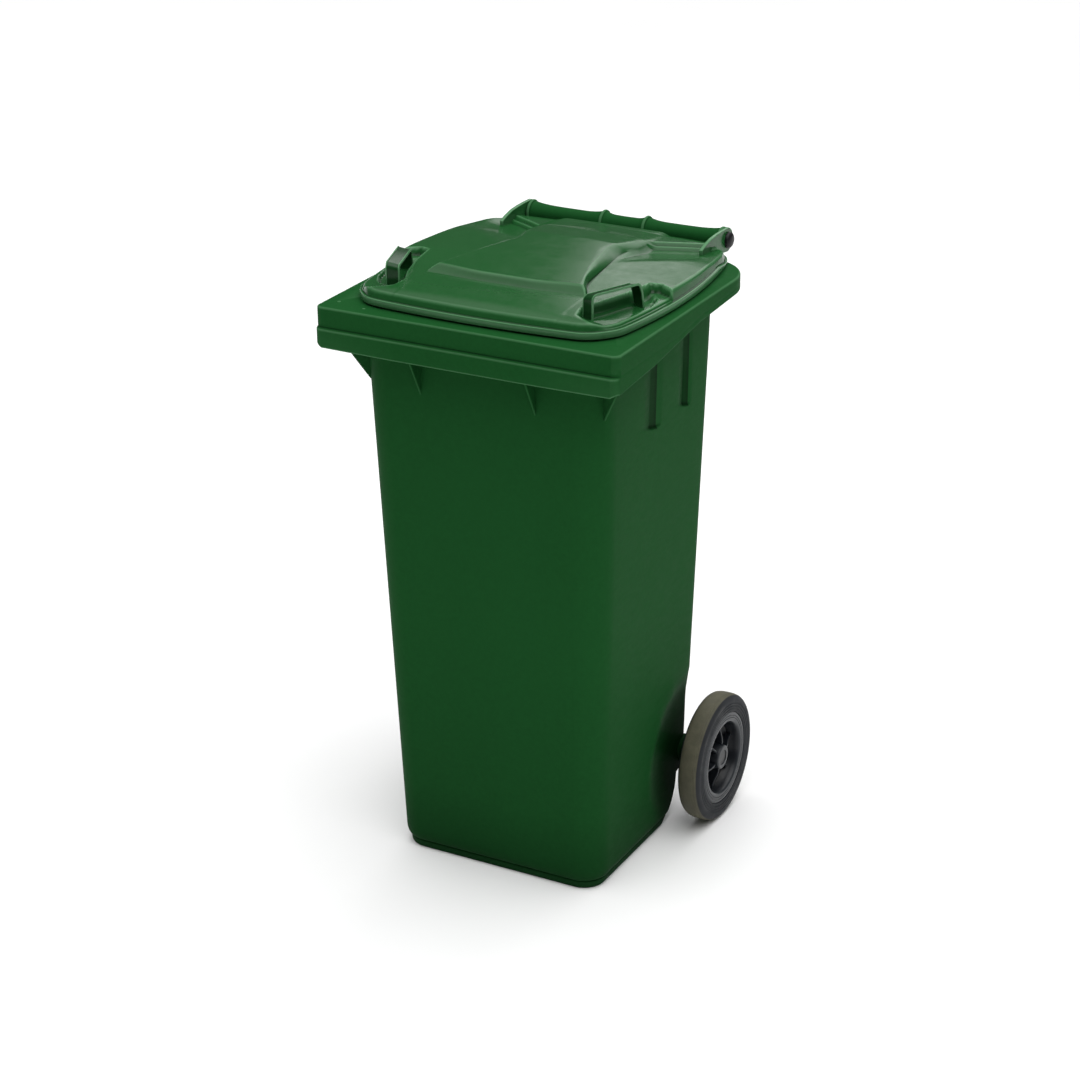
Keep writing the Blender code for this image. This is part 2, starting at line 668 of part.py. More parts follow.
def make_lid_shell(material):
    """Lip, skirt and top as one wall, hollow underneath."""

    def below_top(drop):
        return lambda x, y: lid_top(x, y) - drop

    proud = LID_LIP_PROUD
    wall = LID_THICKNESS
    scales = (0.955, 0.91, 0.86, 0.80, 0.74, 0.67, 0.60, 0.53, 0.46, 0.38, 0.28, 0.16, 0.06)
    loops = [
        lift(lid_outline(0.001), LID_LIP_Z),
        lift(lid_outline(0.0), LID_LIP_Z + 0.001),
        lift(lid_outline(0.0), lambda x, y: lip_top(x, y) - 0.0015),
        lift(lid_outline(0.0015), lip_top),
        lift(lid_outline(proud), lambda x, y: lip_top(x, y) + 0.0005),
        lift(lid_outline(proud + 0.002), below_top(0.004)),
        lift(lid_outline(proud + 0.004), below_top(0.0012)),
    ]
    loops += [lift(lid_outline(proud, scale), lid_top) for scale in scales]
    loops += [lift(lid_outline(proud, scale), below_top(wall)) for scale in reversed(scales)]
    loops += [
        lift(lid_outline(proud + 0.004 + wall), below_top(wall)),
        lift(lid_outline(proud + wall), lip_top),
        lift(lid_outline(proud + wall), LID_LIP_Z),
    ]
    # the last loop meets the first across the bottom of the lip, so the skin has no caps
    count = len(loops[0])
    vertices = [point for loop in loops for point in loop]
    faces = []
    middle = 7 + len(scales) - 1
    for ring in range(len(loops)):
        if ring == middle:
            continue
        other = (ring + 1) % len(loops)
        for step in range(count):
            after = (step + 1) % count
            quad = (ring, step), (ring, after), (other, after), (other, step)
            faces.append([row * count + column for row, column in quad])
    faces.append([middle * count + step for step in range(count)])
    faces.append([(middle + 1) * count + step for step in reversed(range(count))])
    return new_object("lid", vertices, faces, material)


def lid_handle(side):
    """A strap bent into a loop, standing on the lid along the bowed side."""
    half = HANDLE_RUN.length / 2.0
    foot = HANDLE_FOOT_Z
    top = HANDLE_TOP_Z
    inner = HANDLE_THICKNESS
    outline = [(-half - 0.001, foot), (-half + 0.004, foot)]
    outline += arc((-half + inner + 0.005, top - inner - 0.005), 0.005, 180.0, 90.0, 3)
    outline += arc((half - inner - 0.011, top - inner - 0.006), 0.005, 90.0, 25.0, 3)
    outline += [(half - 0.002, foot), (half + 0.005, foot)]
    outline += arc((half - 0.009, top - 0.010), 0.009, 25.0, 90.0, 4)
    outline += arc((-half + 0.009, top - 0.008), 0.008, 90.0, 180.0, 4)
    sideways = Vector((HANDLE_DIRECTION.y, -HANDLE_DIRECTION.x, 0.0))

    def along_handle(u, v, depth):
        point = HANDLE_MIDDLE + HANDLE_DIRECTION * u + sideways * depth
        return Vector((side * point.x, RIM_CENTRE_Y + point.y, v))

    return prism("handle", outline, -HANDLE_WIDTH / 2.0, HANDLE_WIDTH / 2.0, along_handle)


def lid_ear(side):
    """A flat wing from the lid's rear corner that wraps the hinge pin."""
    y = RIM_CENTRE_Y
    top = RIM_TOP_Z
    outline = [(y + 0.172, top + 0.0180), (y + 0.172, top + 0.0310), (y + 0.178, top + 0.0335)]
    outline += arc((HINGE_Y, HINGE_Z), COLLAR_RADIUS - 0.0005, 95.0, -95.0, 18)
    outline += [(y + 0.232, top + 0.0040), (y + 0.215, top + 0.0080)]
    low, high = sorted((side * EAR_INNER_X, side * EAR_OUTER_X))
    return prism("ear", outline, low, high, across)


def make_lid(material):
    lid = make_lid_shell(material)
    combine(lid, [lid_handle(-1.0), lid_handle(1.0), lid_ear(-1.0), lid_ear(1.0)], "UNION")
    radius = PIN_RADIUS + FIT_GAP
    hole = [(-0.30, 0.0), (-0.30, radius), (0.30, radius), (0.30, 0.0)]
    combine(lid, [turned("pin_hole", hole, (0.0, HINGE_Y, HINGE_Z), 28)], "DIFFERENCE")
    return finish(lid, (0.0, HINGE_Y, HINGE_Z))


# -------------------------------------------------------------------------- hinge pins
def make_hinge_pin(name, side, material):
    """A push-in pin with a round cap, through the lid's ear into the end of the bar."""
    cap = EAR_OUTER_X + FIT_GAP
    profile = [
        (PIN_INNER_X, 0.0),
        (PIN_INNER_X, PIN_RADIUS - 0.002),
        (PIN_INNER_X + 0.003, PIN_RADIUS),
        (cap, PIN_RADIUS),
        (cap, CAP_RADIUS),
        (cap + CAP_THICKNESS * 0.6, CAP_RADIUS),
        (cap + CAP_THICKNESS, CAP_RADIUS - 0.003),
        (cap + CAP_THICKNESS, 0.0),
    ]
    centre = (0.0, HINGE_Y, HINGE_Z)
    pin = turned(name, mirrored_profile(profile, side), centre, 24, material)
    return finish(pin, (side * EAR_OUTER_X, HINGE_Y, HINGE_Z))


# ------------------------------------------------------------------- axle and wheels
def make_axle(material):
    """A steel rod with a groove near each end for the wheel's locking pin."""
    half = [
        (GROOVE_X - GROOVE_HALF_WIDTH, AXLE_RADIUS),
        (GROOVE_X - GROOVE_HALF_WIDTH, AXLE_RADIUS - GROOVE_DEPTH),
        (GROOVE_X + GROOVE_HALF_WIDTH, AXLE_RADIUS - GROOVE_DEPTH),
        (GROOVE_X + GROOVE_HALF_WIDTH, AXLE_RADIUS),
        (AXLE_HALF_LENGTH - 0.002, AXLE_RADIUS),
        (AXLE_HALF_LENGTH, AXLE_RADIUS - 0.002),
        (AXLE_HALF_LENGTH, 0.0),
    ]
    profile = [(-x, radius) for x, radius in reversed(half)] + half
    axle = turned("axle", profile, (0.0, AXLE_Y, WHEEL_RADIUS), 28, material)
    return finish(axle, (0.0, AXLE_Y, WHEEL_RADIUS))


def make_washer(name, side, material):
    inner = AXLE_RADIUS + FIT_GAP
    start = AXLE_BOSS_X[1] + FIT_GAP
    end = start + WASHER_THICKNESS
    profile = [(start, inner), (start, WASHER_RADIUS), (end, WASHER_RADIUS), (end, inner)]
    centre = (0.0, AXLE_Y, WHEEL_RADIUS)
    washer = turned(name, mirrored_profile(profile, side), centre, 24, material)
    return finish(washer, (side * start, AXLE_Y, WHEEL_RADIUS))


def hub_rib(side, index):
    """One of the upright ribs between the boss and the dish."""
    face = WHEEL_OUTER_X
    outline = [(0.018, face - 0.0255), (0.018, face - 0.0060), (0.026, face - 0.0060)]
    outline += [(0.052, face - 0.0130), (0.052, face - 0.0255)]
    angle = 2.0 * math.pi * (index + 0.25) / HUB_RIBS

    def radial(u, v, depth):
        y = u * math.cos(angle) - depth * math.sin(angle)
        z = u * math.sin(angle) + depth * math.cos(angle)
        return Vector((side * v, AXLE_Y + y, WHEEL_RADIUS + z))

    return prism("rib", outline, -0.0016, 0.0016, radial)


def make_hub(name, side, material):
    """A dished wheel centre: seat for the tyre, dish, and a blind boss for the axle."""
    bore = AXLE_RADIUS + FIT_GAP
    face = WHEEL_OUTER_X
    inner = face - TYRE_WIDTH
    profile = [
        (HUB_INNER_X, bore),
        (HUB_INNER_X, WASHER_RADIUS),
        (face - 0.0290, HUB_BOSS_RADIUS),
        (face - 0.0270, 0.0500),
        (inner + 0.001, 0.0560),
        (inner + 0.001, HUB_SEAT_RADIUS - 0.001),
        (inner + 0.002, HUB_SEAT_RADIUS),
        (face - 0.003, HUB_SEAT_RADIUS),
        (face - 0.002, HUB_SEAT_RADIUS - 0.001),
        (face - 0.0035, 0.0600),
        (face - 0.0080, 0.0550),
        (face - 0.0210, 0.0480),
        (face - 0.0240, 0.0300),
        (face - 0.0240, HUB_BOSS_RADIUS),
        (HUB_END_X - 0.002, HUB_BOSS_RADIUS - 0.0015),
        (HUB_END_X, HUB_BOSS_RADIUS - 0.0035),
        (HUB_END_X, 0.0),
        (AXLE_HALF_LENGTH + 0.001, 0.0),
        (AXLE_HALF_LENGTH + 0.001, bore),
    ]
    centre = (0.0, AXLE_Y, WHEEL_RADIUS)
    # the boss's end is closed, so the skin runs across the axis twice
    hub = turned_with_floor(name, mirrored_profile(profile, side), centre, 32, material)
    combine(hub, [hub_rib(side, index) for index in range(HUB_RIBS)], "UNION")
    combine(hub, [lock_pin_bore(side)], "DIFFERENCE")
    return finish(hub, (side * GROOVE_X, AXLE_Y, WHEEL_RADIUS))


def turned_with_floor(name, profile, centre, steps, material):
    """A turned skin whose profile touches the axis in two neighbouring points."""
    split = next(i for i, (x, radius) in enumerate(profile) if radius == 0.0)
    order = profile[split + 1:] + profile[:split + 1]
    return turned(name, order, centre, steps, material)


def lock_pin_bore(side):
    """A blind radial hole in the boss, open to the axle's bore."""
    radius = LOCK_PIN_RADIUS + FIT_GAP
    centre = Vector((side * GROOVE_X, AXLE_Y, WHEEL_RADIUS))
    loops = []
    for height in (0.0, LOCK_BORE_TOP):
        ring = arc((centre.x, centre.y), radius, 0.0, 345.0, 23)
        loops.append([Vector((x, y, centre.z + height)) for x, y in ring])
    return loft("lock_bore", loops)


def make_lock_pin(name, side, material):
    """The small pin that drops into the axle's groove and keeps the wheel on."""
    centre = Vector((side * GROOVE_X, AXLE_Y, WHEEL_RADIUS))
    loops = []
    low, high = LOCK_PIN_Z
    tip = LOCK_PIN_RADIUS - 0.0012
    for height, radius in ((low, tip), (low + 0.001, LOCK_PIN_RADIUS), (high, LOCK_PIN_RADIUS)):
        ring = arc((centre.x, centre.y), radius, 0.0, 342.0, 19)
        loops.append([Vector((x, y, centre.z + height)) for x, y in ring])
    return finish(loft(name, loops, material), tuple(centre))


def make_lock_spring(name, side, material):
    """The coil that presses the locking pin into the groove."""
    centre = Vector((side * GROOVE_X, AXLE_Y, WHEEL_RADIUS))
    wire = SPRING_WIRE_RADIUS
    bottom = LOCK_PIN_Z[1] + FIT_GAP + wire
    top = LOCK_BORE_TOP - FIT_GAP - wire
    steps = 30
    loops = []
    for step in range(steps + 1):
        share = step / steps
        angle = 2.0 * math.pi * SPRING_TURNS * share
        outward = Vector((math.cos(angle), math.sin(angle), 0.0))
        middle = centre + outward * SPRING_RADIUS + Vector((0.0, 0.0, mix(bottom, top, share)))
        loop = []
        for corner in range(5):
            turn = 2.0 * math.pi * corner / 5
            loop.append(middle + outward * wire * math.cos(turn) + Vector((0.0, 0.0, wire * math.sin(turn))))
        loops.append(loop)
    return finish(loft(name, loops, material), tuple(centre))


def make_tyre(name, side, material):
    """A solid rubber tyre with a crowned tread."""
    seat = HUB_SEAT_RADIUS + FIT_GAP
    inner = WHEEL_OUTER_X - TYRE_WIDTH
    outer = WHEEL_OUTER_X
    profile = [
        (inner + 0.001, seat),
        (inner + 0.0005, 0.0860),
        (inner, 0.0920),
        (inner + 0.0015, 0.0960),
        (inner + 0.0050, 0.0985),
        (mix(inner, outer, 0.5), WHEEL_RADIUS),
        (outer - 0.0050, 0.0985),
        (outer - 0.0015, 0.0960),
        (outer, 0.0920),
        (outer - 0.0010, 0.0820),
        (outer - 0.0018, seat),
    ]
    centre = (0.0, AXLE_Y, WHEEL_RADIUS)
    tyre = turned(name, mirrored_profile(profile, side), centre, 48, material)
    return finish(tyre, (side * GROOVE_X, AXLE_Y, WHEEL_RADIUS))


# ------------------------------------------------------------------- transponder plug
def chip_ring(radius, z):
    return [Vector((x, y, z)) for x, y in arc((CHIP_X, CHIP_Y), radius, 0.0, 345.0, 23)]


def chip_plug_hole():
    """A small hole through the rim's top for the plug's peg."""
    radius = CHIP_PEG_RADIUS + FIT_GAP
    return loft("peg_hole", [chip_ring(radius, RIM_TOP_Z - 0.02), chip_ring(radius, RIM_TOP_Z + 0.01)])


def make_chip_plug(material):
    """The plug under the rim that closes the seat for an identity chip, with its peg."""
    under = RIM_TOP_Z - WALL - FIT_GAP
    loops = [
        chip_ring(CHIP_PLUG_RADIUS - 0.001, under - 0.0060),
        chip_ring(CHIP_PLUG_RADIUS, under - 0.0050),
        chip_ring(CHIP_PLUG_RADIUS, under),
        chip_ring(CHIP_PEG_RADIUS, under),
        chip_ring(CHIP_PEG_RADIUS, RIM_TOP_Z + 0.0002),
        chip_ring(CHIP_PEG_RADIUS - 0.0007, RIM_TOP_Z + 0.0006),
    ]
    return finish(loft("chip_nest_plug", loops, material), (CHIP_X, CHIP_Y, RIM_TOP_Z))


# ------------------------------------------------------------------------------ assembly
def main():
    for thing in list(bpy.data.objects):
        bpy.data.objects.remove(thing)
    green = new_material("green_polyethylene", (0.020, 0.105, 0.032), 0.42)
    lid_green = new_material("lid_polyethylene", (0.035, 0.150, 0.050), 0.38)
    black = new_material("black_nylon", (0.010, 0.010, 0.012), 0.40)
    rubber = new_material("grey_rubber", (0.050, 0.050, 0.044), 0.75)
    hub_plastic = new_material("dark_hub_plastic", (0.018, 0.020, 0.024), 0.45)
    steel = new_material("zinc_plated_steel", (0.55, 0.56, 0.58), 0.32, 1.0)

    make_body(green)
    make_lid(lid_green)
    make_axle(steel)
    make_chip_plug(green)
    for word, side in (("left", -1.0), ("right", 1.0)):
        make_hinge_pin("hinge_pin_" + word, side, black)
        make_washer("axle_washer_" + word, side, steel)
        make_hub("wheel_hub_" + word, side, hub_plastic)
        make_tyre("tyre_" + word, side, rubber)
        make_lock_pin("lock_pin_" + word, side, black)
        make_lock_spring("lock_spring_" + word, side, steel)


main()
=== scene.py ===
"""Looks for the 120 litre wheelie bin: fine plastic shells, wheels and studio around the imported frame.

Metres, +Z up, the front faces -Y. Plan positions are measured from the centre of the bin's rim,
RIM_CENTRE_Y along Y, and heights on the lid from the top of the rim.
"""
import contextlib
import json
import math

import bmesh
import bpy
import numpy as np
from mathutils import Matrix, Vector


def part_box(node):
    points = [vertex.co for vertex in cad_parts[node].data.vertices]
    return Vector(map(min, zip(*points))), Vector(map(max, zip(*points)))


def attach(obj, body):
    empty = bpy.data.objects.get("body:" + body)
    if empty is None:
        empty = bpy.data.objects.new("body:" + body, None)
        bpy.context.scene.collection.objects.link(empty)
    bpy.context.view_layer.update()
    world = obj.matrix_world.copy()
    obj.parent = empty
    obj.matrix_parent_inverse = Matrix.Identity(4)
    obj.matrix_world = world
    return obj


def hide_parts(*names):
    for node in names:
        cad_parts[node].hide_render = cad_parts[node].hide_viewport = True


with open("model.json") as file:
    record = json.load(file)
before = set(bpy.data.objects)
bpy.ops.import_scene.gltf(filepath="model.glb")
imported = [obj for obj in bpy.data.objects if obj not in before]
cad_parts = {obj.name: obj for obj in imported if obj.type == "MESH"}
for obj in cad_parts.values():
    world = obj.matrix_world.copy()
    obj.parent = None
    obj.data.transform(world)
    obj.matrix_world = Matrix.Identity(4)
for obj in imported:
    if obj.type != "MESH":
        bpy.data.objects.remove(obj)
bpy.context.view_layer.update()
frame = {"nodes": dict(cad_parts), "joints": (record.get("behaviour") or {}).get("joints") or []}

# ---- places taken from the frame
JOINTS = {joint["name"]: joint for joint in frame["joints"]}
HINGE_Y, HINGE_Z = JOINTS["lid_hinge"]["pos_m"][1:]
AXLE_Y, AXLE_Z = JOINTS["right_wheel"]["pos_m"][1:]
RIM_HALF_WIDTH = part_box("body")[1].x
RIM_CENTRE_Y = HINGE_Y - 0.2725
RIM_TOP_Z = HINGE_Z - 0.0145
WHEEL_RADIUS = AXLE_Z
WHEEL_FACE_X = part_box("tyre_right")[1].x
TYRE_WIDTH = WHEEL_FACE_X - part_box("tyre_right")[0].x
WHEEL_BACK_X = WHEEL_FACE_X - TYRE_WIDTH
HUB_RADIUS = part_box("wheel_hub_right")[1].z - AXLE_Z
HUB_INNER_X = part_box("wheel_hub_right")[0].x
BAR_HALF_LENGTH = 0.163
EAR_OUTER_X = 0.1695

# ---- dimensions of the body
WALL = 0.004
RIM_HALF_DEPTH = 0.225
TUB_HALF_X = (0.17, 0.1995)
TUB_FRONT_Y = (-0.162, -0.1908)
TUB_REAR_Y = (0.155, 0.1885)
TUB_FRONT_CORNER = (0.04, 0.05)
TUB_REAR_CORNER = (0.036, 0.04)
FLOOR_TOP_Z = 0.014
FLOOR_CORNER = 0.014
# the foot's profile from the tub's wall down to the ground, as (height, inset), and the ring inside it
FOOT_EDGE = (
    (0.029, 0.0), (0.024, 0.0003), (0.02, 0.0011), (0.0165, 0.0026), (0.0142, 0.0044), (0.0132, 0.0062),
    (0.0124, 0.007), (0.0116, 0.0066), (0.0105, 0.006), (0.003, 0.0062), (0.0012, 0.007), (0.0, 0.0088),
)
FOOT_RING_WIDTH = 0.012
FOOT_RING_DEPTH = 0.007
RIM_FRONT_CORNER = 0.0115
RIM_REAR_CORNER = 0.077
RIM_BAND_DROP = 0.032
RIM_BAND_PROUD = 0.004
RIM_CORNER_LIFT = 0.006
RIM_EDGE = 0.0026
RIM_INNER_BEND = 0.003
SKIRT_Y = (-0.205, 0.03, 0.16)
SKIRT_DROP = (0.061, 0.0295, 0.024)
# loops around the band: depth below the band's line, least height over the lower edge, inset, share of proud
BAND_ROWS = (
    (-0.007, 0.013, 0.0, 0.0), (-0.004, 0.01, 0.0, 0.0), (-0.0022, 0.0082, 0.0003, 0.0),
    (-0.001, 0.007, 0.0, 0.45), (0.0004, 0.0056, 0.0, 0.9), (0.0016, 0.0044, 0.0, 1.0),
    (0.0032, 0.0034, 0.0, 1.0),
)
# loops around the skirt's lower edge, from outside to inside: height over the edge, and inset
SKIRT_EDGE_ROWS = (
    (0.0028, 0.0), (0.0016, 0.0), (0.0005, 0.0005), (0.0, 0.0016), (0.0, WALL - 0.0012),
    (0.001, WALL - 0.0002), (0.006, WALL),
)
FLUTES = ((-0.058, -0.012), (0.053, 0.091))
FLUTE_BOTTOM_Z = 0.697
FLUTE_DEPTH = 0.0095
# how far the flutes' bottoms lie above or below FLUTE_BOTTOM_Z, as (Y, height)
FLUTE_TILT = (
    (-0.113, 0.0), (-0.058, 0.006), (-0.012, -0.006), (0.053, 0.006), (0.091, -0.006),
    (0.1135, 0.0),
)
FLUTE_ROWS = (-0.003, -0.001, 0.0, 0.001, 0.0022, 0.004, 0.0065, 0.01, 0.016)
FIN_EDGE_DROP = 0.06
FIN_LOW_DROP = 0.122
FIN_SET_BACK = 0.01
FIN_X = 0.092
FIN_HALF_THICKNESS = 0.0015
THIN_BEVEL = 0.0006
CORNER_FIN_CENTRE = (0.1468, -0.1381)
CORNER_FIN_DEGREES = 32.0
CORNER_FIN_REACH = (0.046, 0.0495, 0.09)
ARCH_RADIUS = 0.12
ARCH_DEPTH = 0.009
HEEL_CENTRE = (0.04, 0.075)
HEEL_RADIUS = 0.08
HEEL_TOP_Z = 0.07
CHANNEL_HALF_X = 0.14
CHANNEL_Y = 0.1175
CHANNEL_LOW_Z = 0.048
CHANNEL_TOP_Z = 0.127
# heights of the tub's sections below the flutes' bottoms and above them
TUB_LOW_ROWS = (
    0.028, 0.036, 0.045, 0.055, 0.0655, HEEL_TOP_Z, 0.0745, 0.085, 0.096, 0.107, 0.118, CHANNEL_TOP_Z,
    0.1345, 0.142, 0.1427, 0.15, 0.16, 0.172, 0.186, 0.202, 0.222, 0.245, 0.27,
    0.33, 0.4, 0.47, 0.54, 0.61, 0.66, 0.682,
)
TUB_HIGH_ROWS = (0.728, 0.75, 0.78, 0.82, 0.85)
BRACKET_X = (-0.1605, -0.036, 0.036, 0.1605)
BRACKET_HALF_THICKNESS = 0.0022
GRIP_RADIUS = 0.013
GRIP_FLARE = 0.0038
COLLAR_HALF_WIDTH = 0.0025
COLLAR_X = (0.036, BAR_HALF_LENGTH - COLLAR_HALF_WIDTH)
COLLAR_RADIUS = 0.0172
COLLAR_CROWN = 0.0018
SOCKET_END_X = 0.126
SOCKET_RADIUS = 0.0069
RIB_X = (-0.075, 0.0, 0.075)
RIB_HALF_THICKNESS = 0.0025
BORE_RADIUS = 0.0104
# the axle bosses' outer profile as (X, radius)
BOSS = (
    (0.128, 0.019), (0.163, 0.0225), (0.1685, 0.02), (0.1745, 0.019), (0.1755, 0.0186), (0.176, 0.0178),
)
DIMPLE_CENTRE = (-0.2186, -0.193)
DIMPLE_RADIUS = 0.0026
DIMPLE_HEIGHT = 0.0009

# plan stations shared by every loop of the body, so that the loops join point by point
CORNER_STEPS = 14


def stations(ends, step, marks):
    """Evenly spaced values between the ends, plus the marked values, with no two nearly equal."""
    count = int(round((ends[1] - ends[0]) / step))
    values = list(np.linspace(ends[0], ends[1], count + 1)) + list(marks)
    kept = []
    for value in sorted(values):
        near_mark = any(abs(value - mark) < 0.45 * step and value != mark for mark in marks)
        if not near_mark:
            kept.append(float(value))
    return kept


FLUTE_MARKS = []
for flute_front, flute_rear in FLUTES:
    FLUTE_MARKS += [flute_front - 0.003, flute_front, flute_front + 0.004, flute_front + 0.01]
    FLUTE_MARKS += [flute_rear - 0.003, flute_rear - 0.0008, flute_rear + 0.0002, flute_rear + 0.0012]
    FLUTE_MARKS += [flute_rear + 0.0024]
SIDE_STATIONS = stations((-0.113, 0.1135), 0.008, FLUTE_MARKS)
FRONT_STATIONS = stations((-0.12, 0.12), 0.015, [])
REAR_STATIONS = stations((-0.118, 0.118), 0.012, [])


# ---- small helpers
def mix(low, high, share):
    return low + (high - low) * share


def smooth(value, start, end):
    """0 at start, 1 at end, and an S-curve between them; works on numbers and arrays."""
    share = np.clip((value - start) / (end - start), 0.0, 1.0)
    return share * share * (3.0 - 2.0 * share)


def table(pairs, value):
    return np.interp(value, [p[0] for p in pairs], [p[1] for p in pairs])


def softer_min(a, b, width):
    """The smaller of two values, with the corner between them rounded over width."""
    near = np.maximum(width - np.abs(a - b), 0.0) / width
    return np.minimum(a, b) - near * near * width * 0.25


def arc(centre, radius, start_degrees, end_degrees, steps):
    angles = np.radians(np.linspace(start_degrees, end_degrees, steps + 1))
    return np.stack([centre[0] + radius * np.cos(angles), centre[1] + radius * np.sin(angles)], 1)


def corner_arcs(half_x, front, rear, front_radius, rear_radius, steps):
    """The four corners of a rounded rectangle, anticlockwise from the front right one."""
    f, r = front_radius, rear_radius
    return [
        arc((half_x - f, front + f), f, -90.0, 0.0, steps),
        arc((half_x - r, rear - r), r, 0.0, 90.0, steps),
        arc((r - half_x, rear - r), r, 90.0, 180.0, steps),
        arc((f - half_x, front + f), f, 180.0, 270.0, steps),
    ]


def rounding(degrees, radius):
    """How far a rounded edge lies below its top and inside its side, at an angle up from the side."""
    angle = math.radians(degrees)
    return radius * (1.0 - math.sin(angle)), radius * (1.0 - math.cos(angle))


def by_rim(rows):
    """Points (Y, Z) in the frame from rows of (Y from the rim's centre, height over the rim's top)."""
    return [(RIM_CENTRE_Y + y, RIM_TOP_Z + z) for y, z in rows]


def at_height(plan, z):
    """Plan points about the rim's centre, as points in the frame."""
    heights = np.broadcast_to(z, (len(plan),))
    return np.stack([plan[:, 0], plan[:, 1] + RIM_CENTRE_Y, heights], 1)


def linked(name, data):
    """A new object in the scene."""
    thing = bpy.data.objects.new(name, data)
    bpy.context.scene.collection.objects.link(thing)
    return thing


@contextlib.contextmanager
def edited(mesh):
    """The mesh as a bmesh, written back afterwards."""
    work = bmesh.new()
    work.from_mesh(mesh)
    yield work
    work.to_mesh(mesh)
    work.free()


def mesh_object(name, vertices, faces):
    mesh = bpy.data.meshes.new(name)
    mesh.from_pydata([tuple(map(float, v)) for v in vertices], [], faces)
    with edited(mesh) as work:
        bmesh.ops.remove_doubles(work, verts=work.verts, dist=0.000002)
        bmesh.ops.recalc_face_normals(work, faces=work.faces)
    return linked(name, mesh)


def skin(rings):
    """Faces between each ring of vertex numbers and the next; a ring may be one vertex repeated."""
    faces = []
    for low, high in zip(rings, rings[1:]):
        for step in range(len(low)):
            after = (step + 1) % len(low)
            corners = list(dict.fromkeys([low[step], low[after], high[after], high[step]]))
            if len(corners) > 2:
                faces.append(corners)
    return faces


def loft(name, loops):
    """A closed skin through loops of equal length, with its two ends capped."""
    rings = np.arange(len(loops) * len(loops[0])).reshape(len(loops), -1).tolist()
    return mesh_object(name, np.concatenate(loops), [*skin(rings), rings[0], rings[-1][::-1]])


def turned(name, profile, centre, steps=96, side=1.0):
    """A profile of (x, radius) turned about the X axis; a radius of 0 closes the end."""
    angles = np.linspace(0.0, 2.0 * math.pi, steps, endpoint=False)
    vertices = []
    rings = []
    for x, radius in profile:
        first = len(vertices)
        if radius == 0.0:
            vertices.append((centre[0] + side * x, centre[1], centre[2]))
            rings.append([first] * steps)
            continue
        for angle in angles:
            y = centre[1] + radius * math.cos(angle)
            z = centre[2] + radius * math.sin(angle)
            vertices.append((centre[0] + side * x, y, z))
        rings.append(list(range(first, first + steps)))
    if profile[0][1] != 0.0 or profile[-1][1] != 0.0:
        rings.append(rings[0])
    return mesh_object(name, vertices, skin(rings))


BEVEL_MIN_ANGLE = math.radians(30.0)


def bevel_edges(thing, width):
    """Round the sharp edges of a small solid, in its mesh."""
    with edited(thing.data) as work:
        edges = [e for e in work.edges if len(e.link_faces) == 2 and e.calc_face_angle() > BEVEL_MIN_ANGLE]
        bmesh.ops.bevel(work, geom=edges, offset=width, segments=2, profile=0.5, affect="EDGES")


PLATE_BROAD_AREA = 0.0004
PLATE_BORDER = 0.0006


def plate(name, outline, low, high, to_space, bevel):
    """A flat outline with thickness and rounded edges; to_space maps (u, v, depth) to a point.

    A narrow border around the two broad faces keeps the shading of the rounded edges off them.
    """
    loops = [np.array([to_space(u, v, depth) for u, v in outline]) for depth in (low, high)]
    thing = loft(name, loops)
    bevel_edges(thing, bevel)
    with edited(thing.data) as work:
        broad = [face for face in work.faces if len(face.verts) > 4 or face.calc_area() > PLATE_BROAD_AREA]
        bmesh.ops.inset_individual(work, faces=broad, thickness=PLATE_BORDER)
    return thing


def across(u, v, depth):
    return (depth, u, v)


def joined(name, things):
    """One object from several, without changing where anything is."""
    work = bmesh.new()
    for thing in things:
        work.from_mesh(thing.data)
        bpy.data.objects.remove(thing)
    mesh = bpy.data.meshes.new(name)
    work.to_mesh(mesh)
    work.free()
    return linked(name, mesh)


def finish_piece(thing, body, material, sharp_degrees, stands_for):
    """Shade the piece, give it its material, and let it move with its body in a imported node's place."""
    thing.data.shade_smooth()
    thing.data.set_sharp_from_angle(angle=math.radians(sharp_degrees))
    thing.data.materials.clear()
    thing.data.materials.append(material)
    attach(thing, body)
    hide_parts(stands_for)


# ---- body: outlines
def body_outline(half_x, front_y, rear_y, front_corner, rear_corner):
    """A rounded rectangle, anticlockwise from above, through the shared stations."""
    corners = corner_arcs(half_x, front_y, rear_y, front_corner, rear_corner, CORNER_STEPS)
    right, rear = (half_x, SIDE_STATIONS), (REAR_STATIONS[::-1], rear_y)
    left, front = (-half_x, SIDE_STATIONS[::-1]), (FRONT_STATIONS, front_y)
    pieces = []
    for corner, side in zip(corners, (right, rear, left, front)):
        pieces += [corner, np.stack(np.broadcast_arrays(*side), 1)]
    return np.concatenate(pieces)


def flute_depth(y, above):
    """How far the side wall is let in by the flutes; above is the height over their bottoms."""
    depth = np.zeros_like(y)
    for front, rear in FLUTES:
        slant = np.clip((y - front) / (rear - front), 0.0, 1.0)
        open_part = 1.0 - smooth(y, rear - 0.0008, rear + 0.0012)
        fall = smooth(above, -0.0012, 0.0014 + 0.006 * (1.0 - slant))
        depth = np.maximum(depth, FLUTE_DEPTH * slant ** 1.3 * open_part * fall * (y > front))
    return depth


def arch_limit(y, z):
    """The furthest that the side wall may reach outwards around the wheel."""
    wall_x = mix(*TUB_HALF_X, AXLE_Z / RIM_TOP_Z)
    radius = np.hypot(y - (AXLE_Y - RIM_CENTRE_Y), z - AXLE_Z)
    steps = ARCH_RADIUS + np.array([-0.034, -0.02, -0.002, 0.012, 0.024, 0.034])
    reach = wall_x + np.array([-1.0, -0.93, -0.55, 0.0, 1.0, 2.4]) * ARCH_DEPTH
    return np.interp(radius, steps, reach)


